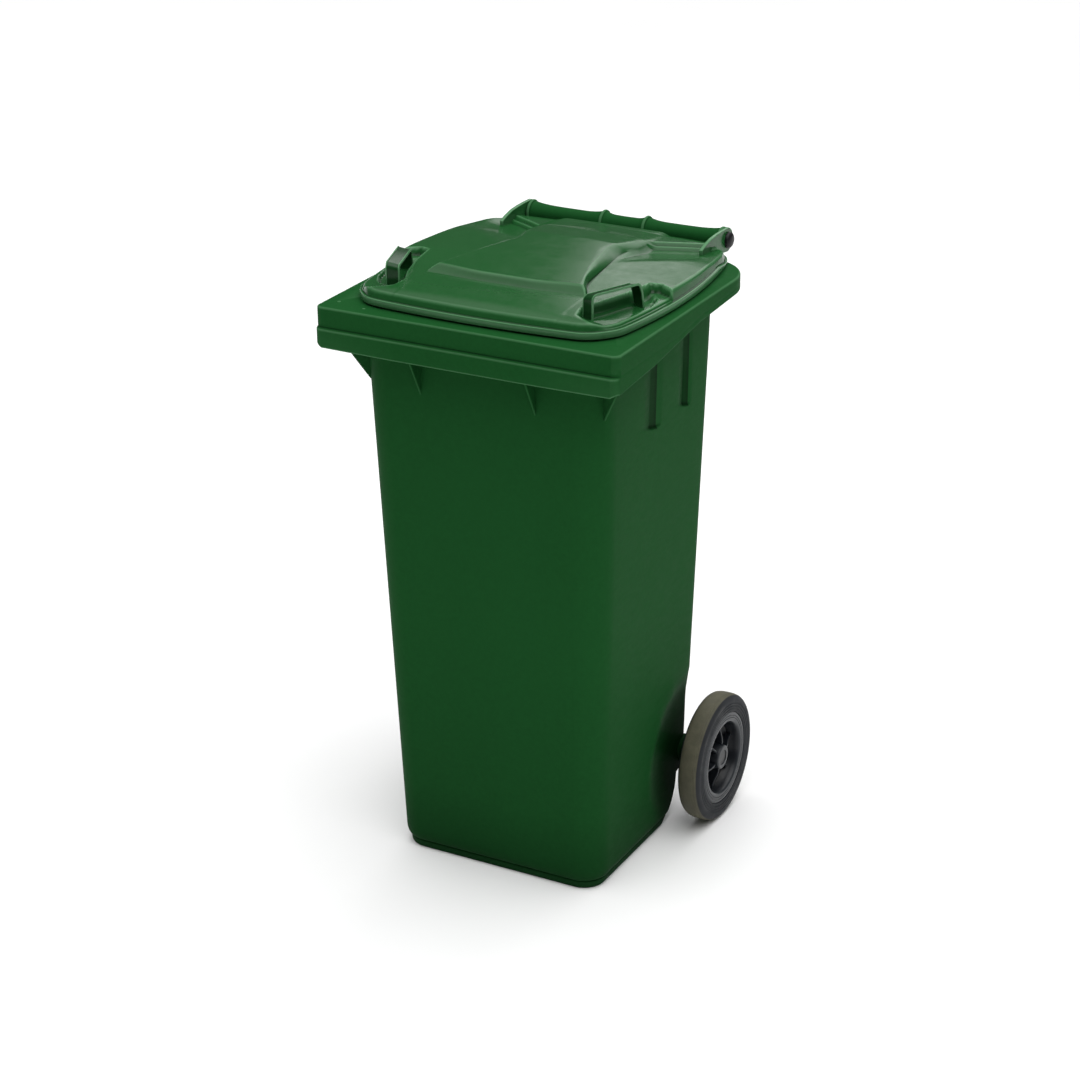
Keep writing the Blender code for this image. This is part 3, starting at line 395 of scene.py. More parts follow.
def heel_limit(x, z):
    """The furthest that the wall may reach backwards under the base and in the axle channel."""
    centre_y, centre_z = HEEL_CENTRE
    drop = np.clip(z - centre_z, -HEEL_RADIUS + 0.001, 0.0)
    curve = centre_y + np.sqrt(HEEL_RADIUS ** 2 - drop ** 2)
    limit = np.where(z < HEEL_TOP_Z, curve, curve + (z - HEEL_TOP_Z) * 25.0)
    channel = CHANNEL_Y + np.clip(z - CHANNEL_TOP_Z, 0.0, 1.0)
    channel = channel + np.clip(z - CHANNEL_TOP_Z - 0.015, 0.0, 1.0) * 60.0
    inside = 1.0 - smooth(np.abs(x), CHANNEL_HALF_X - 0.0015, CHANNEL_HALF_X + 0.0015)
    channel = np.where(z > CHANNEL_LOW_Z, channel, 1.0)
    return np.minimum(limit, np.where(inside > 0.0, mix(0.3, channel, inside), 0.3))


def tub_loop(z, inset, drawn_in=0.0):
    """The tub's section at height z; inset is the wall's depth, drawn_in shrinks the outline more.

    Near the flutes' bottoms the section is tilted along the sides, to run along those bottoms.
    """
    share = z / RIM_TOP_Z
    total = inset + drawn_in
    plan = body_outline(
        mix(*TUB_HALF_X, share) - total,
        mix(*TUB_FRONT_Y, share) + total,
        mix(*TUB_REAR_Y, share) - total,
        max(0.004, mix(*TUB_FRONT_CORNER, share) - total),
        max(0.004, mix(*TUB_REAR_CORNER, share) - total),
    )
    x, y = plan[:, 0], plan[:, 1]
    on_side = np.abs(x) > mix(*TUB_HALF_X, share) - total - 0.001
    above = z - FLUTE_BOTTOM_Z
    tilted = FLUTE_ROWS[0] - 1e-6 < above < FLUTE_ROWS[-1] + 1e-6
    tilt = table(FLUTE_TILT, y) * on_side * tilted
    widening = (TUB_HALF_X[1] - TUB_HALF_X[0]) / RIM_TOP_Z
    over_bottom = above + tilt - table(FLUTE_TILT, y) - 0.3 * inset
    reach = np.abs(x) + widening * tilt - flute_depth(y, over_bottom) * on_side
    reach = softer_min(reach, arch_limit(y, z) - inset, 0.004)
    back = softer_min(y, heel_limit(x, z) - inset - 0.6 * drawn_in, 0.002)
    return at_height(np.stack([np.sign(x) * reach, back], 1), z + tilt)


def rim_loop(drop, inset, proud=0.0):
    """The rim's outline; drop below the rim's top is a number or one value for each point."""
    plan = body_outline(
        RIM_HALF_WIDTH - inset,
        -RIM_HALF_DEPTH - proud + inset,
        RIM_HALF_DEPTH - inset,
        RIM_FRONT_CORNER - min(inset, 0.006),
        RIM_REAR_CORNER - inset,
    )
    drops = drop(plan[:, 0], plan[:, 1]) if callable(drop) else drop
    return at_height(plan, RIM_TOP_Z - drops)


def skirt_drop(x, y):
    """Depth of the skirt's lower edge below the rim's top, a little less at the front corners."""
    corner = smooth(np.abs(x), 0.224, 0.24) * smooth(-y, 0.205, 0.224)
    return np.interp(y, SKIRT_Y, SKIRT_DROP) - RIM_CORNER_LIFT * corner


# ---- body: the pieces
def tub_and_rim():
    """Floor, tub wall, rim plate and skirt as one skin."""
    loops = []
    for degrees in (90.0, 68.0, 45.0, 22.0):
        rise, inset = rounding(degrees, FLOOR_CORNER)
        loops.append(tub_loop(FLOOR_TOP_Z + rise, WALL, inset))
    rows = [*TUB_LOW_ROWS, *(FLUTE_BOTTOM_Z + above for above in FLUTE_ROWS), *TUB_HIGH_ROWS]
    loops += [tub_loop(z, WALL) for z in rows]
    for degrees in (0.0, 30.0, 60.0, 90.0):
        drop, inset = rounding(degrees, RIM_EDGE)
        loops.append(tub_loop(RIM_TOP_Z - drop, WALL - inset))
    loops.append(tub_loop(RIM_TOP_Z, WALL - RIM_EDGE, -0.0012))
    loops += [rim_loop(0.0, RIM_EDGE + 0.0025), rim_loop(0.0, RIM_EDGE + 0.0008)]
    for degrees in (90.0, 67.0, 45.0, 22.0, 0.0):
        loops.append(rim_loop(*rounding(degrees, RIM_EDGE)))
    loops += [rim_loop(RIM_EDGE + 0.0008, 0.0), rim_loop(RIM_EDGE + 0.003, 0.0)]

    def over_edge(height):
        return lambda x, y: skirt_drop(x, y) - height

    def near_band(below, least):
        """A line by the band, kept above the lower edge where the skirt gets narrow."""
        return lambda x, y: np.minimum(RIM_BAND_DROP + below, skirt_drop(x, y) - least)

    for below, least, inset, share in BAND_ROWS:
        loops.append(rim_loop(near_band(below, least), inset, RIM_BAND_PROUD * share))
    for height, inset in SKIRT_EDGE_ROWS:
        loops.append(rim_loop(over_edge(height), inset, RIM_BAND_PROUD))
    loops += [
        rim_loop(WALL + RIM_INNER_BEND, WALL),
        rim_loop(WALL, WALL + RIM_INNER_BEND),
        tub_loop(RIM_TOP_Z - WALL, 0.0, -RIM_INNER_BEND),
        tub_loop(RIM_TOP_Z - WALL - RIM_INNER_BEND, 0.0),
    ]
    loops += [tub_loop(z, 0.0) for z in reversed(rows) if z > FOOT_EDGE[0][0]]
    loops += [tub_loop(z, 0.0, inset) for z, inset in FOOT_EDGE]
    ring = FOOT_EDGE[-1][1] + FOOT_RING_WIDTH
    loops += [tub_loop(0.0, 0.0, ring), tub_loop(FOOT_RING_DEPTH, 0.0, ring + 0.002)]
    return loft("tub_and_rim", loops)


def front_fins():
    """Two upright fins between the tub's front and the rim, with their roots in the wall."""
    top = RIM_TOP_Z - WALL / 2.0
    edge = RIM_TOP_Z - FIN_EDGE_DROP
    front = RIM_CENTRE_Y - RIM_HALF_DEPTH + 0.001
    back = RIM_CENTRE_Y - RIM_HALF_DEPTH + FIN_SET_BACK
    wall = RIM_CENTRE_Y + mix(*TUB_FRONT_Y, 0.9) + 0.0015
    outline = [(front, top), (front, edge), (back, edge - 0.006)]
    outline += [(wall, RIM_TOP_Z - FIN_LOW_DROP), (wall, top)]
    half = FIN_HALF_THICKNESS
    return [plate("fin", outline, x - half, x + half, across, THIN_BEVEL) for x in (-FIN_X, FIN_X)]


def corner_fins():
    """A slanting fin in each front corner, between the tub's corner and the rim's."""
    top = RIM_TOP_Z - WALL / 2.0
    low = RIM_TOP_Z - FIN_LOW_DROP + 0.002
    inner, foot, outer = CORNER_FIN_REACH
    outline = [(inner, top), (inner, low), (foot, low), (outer, RIM_TOP_Z - FIN_EDGE_DROP), (outer, top)]
    angle = math.radians(CORNER_FIN_DEGREES)
    fins = []
    for side in (-1.0, 1.0):

        def slanting(u, v, depth, side=side):
            x = CORNER_FIN_CENTRE[0] + u * math.cos(angle) + depth * math.sin(angle)
            y = CORNER_FIN_CENTRE[1] - u * math.sin(angle) + depth * math.cos(angle)
            return (side * x, RIM_CENTRE_Y + y, v)

        half = FIN_HALF_THICKNESS
        fins.append(plate("corner_fin", outline, -half, half, slanting, THIN_BEVEL))
    return fins


def grip_bar():
    """The grip bar: slightly waisted between collars that stand on the brackets."""
    half = [(0.0, GRIP_RADIUS)]
    for centre in COLLAR_X:
        start, end = half[-1][0], centre - COLLAR_HALF_WIDTH - 0.0004
        for share in (0.3, 0.5, 0.62, 0.72, 0.8, 0.87, 0.93, 0.97, 1.0):
            half.append((mix(start, end, share), GRIP_RADIUS + GRIP_FLARE * share ** 5))
        for along, out in arc((0.0, 0.0), 1.0, 180.0, 0.0, 6):
            half.append((centre + COLLAR_HALF_WIDTH * along, COLLAR_RADIUS + COLLAR_CROWN * out))
        if centre == COLLAR_X[0]:
            for share in (0.004, 0.015, 0.035, 0.065, 0.11, 0.17, 0.26):
                flare = GRIP_FLARE * (1.0 - share / 0.26) ** 2.5
                half.append((mix(centre + COLLAR_HALF_WIDTH, BAR_HALF_LENGTH, share), GRIP_RADIUS + flare))
    half += [(BAR_HALF_LENGTH, SOCKET_RADIUS), (SOCKET_END_X, SOCKET_RADIUS), (SOCKET_END_X, 0.0)]
    profile = [(-x, radius) for x, radius in reversed(half[1:])] + half
    return turned("bar", profile, (0.0, HINGE_Y, HINGE_Z), 72)


def bar_brackets():
    """Four upright webs behind the rim, with their roots in the tub's rear wall, that carry the bar."""
    wall = mix(*TUB_REAR_Y, 0.95) - 0.0015
    outline = by_rim([(wall, -0.0025), (RIM_HALF_DEPTH + 0.02, -0.003)])
    outline += [tuple(p) for p in arc((HINGE_Y, HINGE_Z), 0.0105, 172.0, 288.0, 14)]
    outline += by_rim([(RIM_HALF_DEPTH, -0.034), (wall, -0.077)])
    half = BRACKET_HALF_THICKNESS
    return [plate("bracket", outline, x - half, x + half, across, 0.0008) for x in BRACKET_X]


def axle_ribs():
    """Ribs that stand behind the axle's channel."""
    y = RIM_CENTRE_Y
    outline = [(y + 0.116, 0.072), (y + 0.116, 0.144), (y + 0.161, 0.144), (y + 0.1635, 0.072)]
    half = RIB_HALF_THICKNESS
    return [plate("rib", outline, x - half, x + half, across, THIN_BEVEL) for x in RIB_X]


def axle_bosses():
    profile = [(BOSS[0][0], BORE_RADIUS), *BOSS, (BOSS[-1][0], BORE_RADIUS)]
    centre = (0.0, AXLE_Y, AXLE_Z)
    return [turned("boss", profile, centre, 64, side) for side in (-1.0, 1.0)]


def rim_dimple():
    """The small moulded nub in the front left corner of the rim's top."""
    loops = [at_height(arc(DIMPLE_CENTRE, DIMPLE_RADIUS, 0.0, 345.0, 23), RIM_TOP_Z - 0.001)]
    for degrees in (0.0, 30.0, 60.0, 85.0):
        angle = math.radians(degrees)
        ring = arc(DIMPLE_CENTRE, DIMPLE_RADIUS * math.cos(angle), 0.0, 345.0, 23)
        loops.append(at_height(ring, RIM_TOP_Z + DIMPLE_HEIGHT * math.sin(angle)))
    return loft("dimple", loops)


def make_body(material):
    parts = [tub_and_rim(), grip_bar(), rim_dimple()]
    parts += front_fins() + corner_fins() + bar_brackets() + axle_ribs() + axle_bosses()
    finish_piece(joined("body_moulding", parts), "tub", material, 30.0, "body")


# ---- the lid
LID_HALF_X = 0.209
LID_FRONT_Y = -0.195
LID_REAR_Y = 0.2405
LID_FRONT_CORNER = 0.054
LID_REAR_CORNER = 0.056
LID_SIDE_BOW = 0.016
LID_BOW_CENTRE_Y = 0.01
LID_BOW_REACH = 0.163
LID_FRONT_BOW = 0.008
LID_LIP = 0.0028
LID_LIP_HEIGHT = 0.01
LID_LIP_REAR_HEIGHT = 0.0045
LID_LIP_PROUD = 0.004
LID_THICKNESS = 0.0035
# loops of the lid's edge as (inset, height): under the lip, over the lip (below its top), and at the
# shoulder (inset past the lip, depth below the lid's surface)
LIP_UNDERSIDE = ((LID_LIP_PROUD + LID_THICKNESS, 0.0), (0.001, 0.0), (0.0003, 0.0003), (0.0, 0.0011))
LIP_EDGE = (
    (0.0, 0.0016), (0.0004, 0.0006), (0.0014, 0.0),
    (LID_LIP_PROUD - 0.001, -0.0001), (LID_LIP_PROUD - 0.0002, -0.0008),
)
LID_SHOULDER = ((0.0018, 0.0036), (0.0025, 0.002), (0.0036, 0.0008), (0.0047, 0.0002))
LID_TOP_INSET = LID_LIP_PROUD + 0.0058
# tables along Y, front to back, of heights above the rim's top and of X positions
PANEL_TOP = (
    (-0.096, 0.0438), (-0.06, 0.0455), (0.0, 0.047), (0.1, 0.045), (0.16, 0.038), (0.215, 0.029),
)
BASE_TOP = (
    (-0.203, 0.0225), (-0.178, 0.0285), (-0.15, 0.0315), (-0.118, 0.0335), (0.0, 0.035), (0.12, 0.034),
    (0.18, 0.031), (0.215, 0.0275), (0.24, 0.019),
)
SIDE_DROP = ((-0.2, 0.004), (0.0, 0.005), (0.1, 0.008), (0.18, 0.012), (0.212, 0.011), (0.236, 0.002))
STEP_LINE = ((0.097, 0.174), (0.15, 0.215))
STEP_HEIGHTS = (0.0048, 0.0042)
STEP_SPACING = 0.0085
CREASE_X = (
    (-0.1, 0.129), (-0.087, 0.122), (-0.058, 0.1065), (0.01, 0.0975), (0.086, 0.0855), (0.121, 0.0935),
)
PANEL_EDGE_X = ((-0.1, 0.117), (-0.083, 0.111), (-0.001, 0.084), (0.071, 0.06), (0.125, 0.074))
# the slope at the panel's front: its foot and its top edge, and how much further back they lie at the sides
PANEL_FRONT_Y = (-0.111, -0.098)
PANEL_FRONT_SWEEP = (0.006, 0.014)
# the hollow beside each handle, and the lowered zone around it that its rolled border fills
DISH = (
    (0.15, -0.156), (0.168, -0.153), (0.1885, -0.137), (0.2, -0.116), (0.2115, -0.07),
    (0.206, -0.038), (0.193, -0.017), (0.18, -0.016), (0.172, -0.06), (0.156, -0.11),
    (0.143, -0.14),
)
DISH_ZONE = (
    (0.144, -0.164), (0.156, -0.172), (0.19, -0.19), (0.24, -0.15), (0.245, -0.04),
    (0.222, -0.017), (0.196, -0.003), (0.18, -0.008), (0.17, -0.06), (0.154, -0.11),
    (0.14, -0.14),
)
DISH_CREST = 0.0188
DISH_FLOOR = 0.012
LID_CORNER_HALF_STEPS = 16
LID_FRONT_STEPS = 148
LID_SIDE_STEPS = 168
HANDLE_FRONT = (0.156, -0.148)
HANDLE_REAR = (0.1862, -0.0628)
HANDLE_HALF_WIDTH = 0.0098
HANDLE_TOP = (0.0505, 0.048)
HANDLE_FOOT = 0.011
HANDLE_BEND = (0.0068, 0.0085)
HANDLE_LEAN = 0.22
# the strap's section as (distance in from its edge, distance outwards): raised border and hollow side
STRAP_FACE = (
    (0.0, -0.0012), (0.0, 0.0012), (0.0004, 0.0018), (0.0011, 0.002), (0.0018, 0.0018), (0.0023, 0.001),
)
STRAP_HOLLOW = ((0.0004, -0.0016), (0.0014, -0.0016), (0.002, -0.0008))
EAR_INNER_X = 0.164
EAR_RADIUS = 0.0185
# the ear's upper and lower edges as (Y, height over the rim's top)
EAR_UPPER = (
    (0.184, 0.015), (0.184, 0.0225), (0.198, 0.0275), (0.216, 0.0315), (0.236, 0.033), (0.256, 0.0333),
)
EAR_LOWER = ((0.25, -0.001), (0.236, 0.0035), (0.215, 0.0075))


def soft_table(pairs, value, reach=0.012):
    """A table read with its corners rounded off."""
    shifts = np.linspace(-1.0, 1.0, 7) * reach
    return sum(table(pairs, value + shift) for shift in shifts) / len(shifts)


def distance_inside(polygon, x, y):
    """Signed distance from a closed outline, positive inside."""
    points = np.array(polygon)
    nearest = np.full(x.shape, 1.0)
    inside = np.zeros(x.shape, bool)
    for start, end in zip(points, np.roll(points, -1, axis=0)):
        run = end - start
        share = np.clip(((x - start[0]) * run[0] + (y - start[1]) * run[1]) / (run @ run), 0.0, 1.0)
        away = np.hypot(x - start[0] - share * run[0], y - start[1] - share * run[1])
        nearest = np.minimum(nearest, away)
        crosses = (start[1] > y) != (end[1] > y)
        rise = run[1] if abs(run[1]) > 1e-9 else 1e-9
        inside ^= crosses & (x < start[0] + (y - start[1]) * run[0] / rise)
    return np.where(inside, nearest, -nearest)


def lid_top(x, y):
    """Height of the lid's upper surface above the rim's top."""
    x = np.abs(x)
    side_share = np.minimum(1.0, x / 0.215) ** 2
    z = soft_table(BASE_TOP, y, 0.006) - table(SIDE_DROP, y) * side_share
    crease = soft_table(CREASE_X, y)
    edge = soft_table(PANEL_EDGE_X, y)
    climb = np.clip((crease - x) / (crease - edge), 0.0, 1.0)
    side_rise = 1.0 - (1.0 - climb) ** 2.2
    sweep = smooth(x, 0.03, 0.14)
    foot, top = (start + back * sweep for start, back in zip(PANEL_FRONT_Y, PANEL_FRONT_SWEEP))
    front_rise = smooth((y - foot) / (top - foot), -0.1, 1.05)
    rise = np.maximum(table(PANEL_TOP, y) - table(BASE_TOP, y), 0.0)
    z = z + rise * softer_min(side_rise, front_rise, 0.1) * (1.0 - smooth(y, 0.15, 0.205) * 0.35)
    z = z - step_drop(x, y)
    lowered = smooth(distance_inside(DISH_ZONE, x, y), 0.0, 0.006)
    lowered = lowered * smooth(y + 0.35 * (x - 0.15), -0.176, -0.15)
    z = mix(z, np.minimum(z, DISH_CREST), lowered)
    depth = distance_inside(DISH, x, y)
    outer = x > 0.187 + 0.2 * (y + 0.1)
    share = np.where(outer, smooth(depth, -0.0005, 0.0045), smooth(depth, 0.0, 0.014))
    z = mix(z, np.minimum(z, DISH_FLOOR), share)
    return np.maximum(z, lip_top(y) + 0.001)


def step_drop(x, y):
    """How far the surface lies below the rear of the lid, in front of the slanting double step."""
    (x0, y0), (x1, y1) = STEP_LINE
    ahead = ((x - x0) * (y1 - y0) - (y - y0) * (x1 - x0)) / math.hypot(x1 - x0, y1 - y0)
    drop = STEP_HEIGHTS[0] * smooth(ahead, 0.0, 0.004)
    drop = drop + STEP_HEIGHTS[1] * smooth(ahead, STEP_SPACING, STEP_SPACING + 0.004)
    ends = smooth(x, 0.09, 0.102) * (1.0 - smooth(x, 0.16, 0.2))
    return drop * ends * (1.0 - smooth(ahead, 0.03, 0.1))


def lip_top(y):
    """Height of the top of the lip, which is lower along the rear edge."""
    return LID_LIP + mix(LID_LIP_HEIGHT, LID_LIP_REAR_HEIGHT, smooth(y, 0.15, 0.2))


def lid_outline(inset):
    """The lid's bowed outline, anticlockwise from the middle of the front left corner."""
    half = LID_CORNER_HALF_STEPS
    limits = (LID_HALF_X - inset, LID_FRONT_Y + inset, LID_REAR_Y - inset)
    corners = corner_arcs(*limits, LID_FRONT_CORNER - inset, LID_REAR_CORNER - inset, 2 * half)
    counts = (LID_SIDE_STEPS, LID_FRONT_STEPS, LID_SIDE_STEPS, LID_FRONT_STEPS)
    pieces = []
    for corner, following, count in zip(corners, corners[1:] + corners[:1], counts):
        shares = np.linspace(0.0, 1.0, count + 1)[1:-1, None]
        pieces += [corner, mix(corner[-1], following[0], shares)]
    points = np.roll(np.concatenate(pieces), half + LID_FRONT_STEPS, axis=0)
    x, y = points[:, 0], points[:, 1]
    side_share = np.maximum(-0.3, 1.0 - ((y - LID_BOW_CENTRE_Y) / LID_BOW_REACH) ** 2)
    front_share = np.maximum(0.0, 1.0 - (x / 0.16) ** 2)
    bowed_x = x * (1.0 + LID_SIDE_BOW / LID_HALF_X * side_share)
    bowed_y = y - LID_FRONT_BOW * front_share * smooth(-y, 0.0, 0.15)
    return np.stack([bowed_x, bowed_y], 1)


def patch(border):
    """A grid of plan points that fills the lid's outline, with that outline as its border."""
    across_count = LID_FRONT_STEPS + 2 * LID_CORNER_HALF_STEPS
    along_count = LID_SIDE_STEPS + 2 * LID_CORNER_HALF_STEPS
    closed = np.concatenate([border, border[:1]])
    front = closed[:across_count + 1]
    right = closed[across_count:across_count + along_count + 1]
    rear = closed[across_count + along_count:2 * across_count + along_count + 1][::-1]
    left = closed[2 * across_count + along_count:][::-1]
    u = np.linspace(0.0, 1.0, across_count + 1)[None, :, None]
    v = np.linspace(0.0, 1.0, along_count + 1)[:, None, None]
    sides = mix(left[:, None], right[:, None], u) + mix(front[None], rear[None], v)
    flat = mix(mix(front[0], front[-1], u), mix(rear[0], rear[-1], u), v)
    return follow_panel(sides - flat)


def follow_panel(points):
    """Slide the grid sideways so that whole columns run along the raised panel's edges."""
    x, y = points[..., 0], points[..., 1]
    half = np.abs(x[:, -1:])
    size = np.abs(x)
    crease, edge = soft_table(CREASE_X, y), soft_table(PANEL_EDGE_X, y)
    even_edge, even_crease = 0.4 * half, 0.48 * half
    inner = size / even_edge * edge
    middle = mix(edge, crease, (size - even_edge) / (even_crease - even_edge))
    outer = mix(crease, half, (size - even_crease) / (half - even_crease))
    moved = np.where(size < even_edge, inner, np.where(size < even_crease, middle, outer))
    rows = np.linspace(0.0, 1.0, len(x))[:, None]
    free = smooth(rows, 0.0, 0.06) * smooth(1.0 - rows, 0.0, 0.06)
    return np.stack([np.sign(x) * mix(size, moved, free), y], -1)


def border_indices(rows, columns):
    """Indices of a grid's border, anticlockwise from its first corner."""
    grid = np.arange(rows * columns).reshape(rows, columns)
    return np.concatenate([grid[0, :-1], grid[:-1, -1], grid[-1, :0:-1], grid[:0:-1, 0]])


def lid_loop(inset, height):
    """One loop of the lid's edge; height above the rim's top is a number or a rule of (x, y)."""
    plan = lid_outline(inset)
    z = height(plan[:, 0], plan[:, 1]) if callable(height) else height
    return at_height(plan, RIM_TOP_Z + z)


def lid_shell():
    """Lip, skirt, top and underside as one closed skin."""
    proud, wall = LID_LIP_PROUD, LID_THICKNESS

    def lip(drop):
        return lambda x, y: lip_top(y) - drop

    def near_top(drop):
        least = 0.0002 + 0.4 * max(0.0, 0.004 - drop)
        return lambda x, y: np.maximum(lid_top(x, y) - drop, lip_top(y) + least)

    def under_lip(x, y):
        return np.minimum(lip_top(y), lid_top(x, y) - wall - 0.001)

    loops = [lid_loop(inset, LID_LIP + rise) for inset, rise in LIP_UNDERSIDE]
    loops += [lid_loop(inset, lip(drop)) for inset, drop in LIP_EDGE]
    loops.append(lid_loop(proud + 0.0002, lambda x, y: mix(lip_top(y) + 0.0012, lid_top(x, y), 0.12)))
    loops += [lid_loop(proud + inset, near_top(drop)) for inset, drop in LID_SHOULDER]
    loops.append(lid_loop(proud + wall, under_lip))
    grids = []
    for inset, depth in ((LID_TOP_INSET, 0.0), (LID_TOP_INSET + wall * 0.6, wall)):
        grid = patch(lid_outline(inset))
        rows, columns = grid.shape[:2]
        plan = grid.reshape(-1, 2)
        grids.append(at_height(plan, RIM_TOP_Z + lid_top(plan[:, 0], plan[:, 1]) - depth))

    count = len(loops[0])
    *outer, inner = [np.arange(count) + index * count for index in range(len(loops))]
    upper_start = len(loops) * count
    lower_start = upper_start + rows * columns
    border = border_indices(rows, columns)
    faces = skin([*outer, border + upper_start]) + skin([border + lower_start, inner, outer[0]])
    for start in (upper_start, lower_start):
        for row in range(rows - 1):
            first = start + row * columns
            for here in range(first, first + columns - 1):
                faces.append([here, here + 1, here + 1 + columns, here + columns])
    return mesh_object("lid_shell", np.concatenate(loops + grids), [list(map(int, face)) for face in faces])


def lid_handle(side):
    """A bent strap with a raised border along both edges and a hollow inner face."""
    front, rear = np.array(HANDLE_FRONT), np.array(HANDLE_REAR)
    direction = (rear - front) / math.dist(front, rear)
    middle = (front + rear) / 2.0
    half = math.dist(front, rear) / 2.0
    front_top, rear_top = (RIM_TOP_Z + z for z in HANDLE_TOP)
    foot = RIM_TOP_Z + HANDLE_FOOT
    front_bend, rear_bend = HANDLE_BEND
    path = [(-half - 0.0012, foot), (-half - 0.001, foot + 0.01), (-half - 0.0006, front_top - 0.0075)]
    path += [*arc((-half + 0.0064, front_top - front_bend), front_bend, 178.0, 90.0, 7)]
    path += [*arc((half - rear_bend, rear_top - rear_bend), rear_bend, 88.0, 18.0, 7)]
    path += [(half + 0.0022, rear_top - 0.014), (half + 0.0052, foot)]
    points = np.array(path)
    tangents = np.gradient(points, axis=0)
    tangents /= np.linalg.norm(tangents, axis=1)[:, None]
    normals = np.stack([-tangents[:, 1], tangents[:, 0]], 1)
    edge = HANDLE_HALF_WIDTH
    section = [(inset - edge, out) for inset, out in STRAP_FACE]
    section += [(edge - inset, out) for inset, out in reversed(STRAP_FACE)]
    section += [(edge - inset, out) for inset, out in STRAP_HOLLOW]
    section += [(inset - edge, out) for inset, out in reversed(STRAP_HOLLOW)]

    def along_handle(u, v, depth):
        x = middle[0] + direction[0] * u + direction[1] * depth
        y = middle[1] + direction[1] * u - direction[0] * depth
        lean = HANDLE_LEAN * smooth(v, foot, front_top - 0.004)
        return (side * x, RIM_CENTRE_Y + y, v + depth * lean)

    loops = []
    for point, normal in zip(points, normals):
        loops.append(np.array([along_handle(*(point + normal * out), depth) for depth, out in section]))
    return loft("handle", loops)


def lid_ear(side):
    """A flat wing from the lid's rear corner that wraps the hinge pin."""
    outline = by_rim(EAR_UPPER)
    outline += [tuple(p) for p in arc((HINGE_Y, HINGE_Z), EAR_RADIUS, 88.0, -100.0, 34)]
    outline += by_rim(EAR_LOWER)
    low, high = sorted((side * EAR_INNER_X, side * EAR_OUTER_X))
    return plate("ear", outline, low, high, across, 0.0011)


def make_lid(material):
    parts = [lid_shell(), lid_handle(-1.0), lid_handle(1.0), lid_ear(-1.0), lid_ear(1.0)]
    finish_piece(joined("lid_moulding", parts), "lid", material, 34.0, "lid")


# ---- the wheels
TREAD_CROWN = 0.0012
# profiles of the tyre: (distance from the back, radius), then (distance in from the outer face, radius)
TYRE_BACK = (
    (0.0006, 0.08), (0.0, 0.09), (0.0006, 0.094), (0.002, 0.0966), (0.0046, 0.0985), (0.009, 0.0995),
)
TYRE_RINGS = ((0.0098, 0.0996), (0.0066, 0.099))
TYRE_SHOULDER = ((0.0046, 0.0984), (0.0026, 0.097), (0.001, 0.0948), (0.0001, 0.092), (0.0, 0.089))
TYRE_GROOVES = (0.086, 0.0815, 0.077)
# profiles of the hub, as (distance in from the outer face, radius)
HUB_BORE_END = 0.0075
HUB_BEHIND = ((0.031, 0.0195), (0.0285, 0.023), (0.027, 0.03), (0.0268, 0.049), (0.03, 0.0535))
HUB_GROOVES = (0.0665, 0.063)
HUB_DISH = (
    (0.0013, 0.059), (0.0022, 0.0572), (0.0042, 0.056), (0.01, 0.0548), (0.017, 0.053), (0.0208, 0.0508),
    (0.0226, 0.0465), (0.0236, 0.038), (0.024, 0.029), (0.0236, 0.0235), (0.0222, 0.0212), (0.0195, 0.0203),
    (0.006, 0.0192), (0.0045, 0.0186), (0.0037, 0.0174), (0.0035, 0.0155), (0.0035, 0.012), (0.0047, 0.0112),
    (0.005, 0.0),
)
HUB_RIBS = 6
# a hub rib's outline, as (radius, distance in from the outer face)
HUB_RIB = (
    (0.017, 0.0255), (0.017, 0.0085), (0.0225, 0.0075), (0.03, 0.009), (0.04, 0.013), (0.0535, 0.015),
    (0.0535, 0.0255),
)
PIN_START_X = 0.128
PIN_RADIUS = 0.0065
CAP_RADIUS = 0.0122
# the cap's profile as (distance outwards, distance in from its radius)
CAP_EDGE = ((0.0, 0.0004), (0.0005, 0.0), (0.003, 0.0), (0.0046, 0.0009), (0.006, 0.0028), (0.007, 0.0056))


def from_face(rows):
    """Points (X, radius) from rows of (distance in from the wheel's outer face, radius)."""
    return [(WHEEL_FACE_X - inwards, radius) for inwards, radius in rows]


def make_tyre(word, side, material):
    """Solid rubber tyre: crowned tread with two fine rings, and a sidewall with shallow grooves."""
    seat = HUB_RADIUS + 0.0004
    profile = [(WHEEL_BACK_X + 0.0012, seat)] + [(WHEEL_BACK_X + x, radius) for x, radius in TYRE_BACK]
    for share in np.linspace(0.32, 0.68, 7):
        crown = TREAD_CROWN * (2.0 * share - 1.0) ** 2
        profile.append((mix(WHEEL_BACK_X, WHEEL_FACE_X, share), WHEEL_RADIUS - crown))
    for inwards, level in TYRE_RINGS:
        x = WHEEL_FACE_X - inwards
        profile += [(x - 0.0006, level), (x - 0.0002, level - 0.0006), (x + 0.0002, level - 0.0006)]
        profile.append((x + 0.0006, level - 0.0001))
    profile += from_face(TYRE_SHOULDER)
    for radius in TYRE_GROOVES:
        profile += from_face([(0.0002, radius + 0.0008), (0.001, radius + 0.0003)])
        profile += from_face([(0.001, radius - 0.0003), (0.0003, radius - 0.0008)])
    profile += from_face([(0.0006, seat + 0.0012), (0.0014, seat)])
    tyre = turned("tyre_tread_" + word, profile, (0.0, AXLE_Y, AXLE_Z), 144, side)
    finish_piece(tyre, "wheel_" + word, material, 40.0, "tyre_" + word)


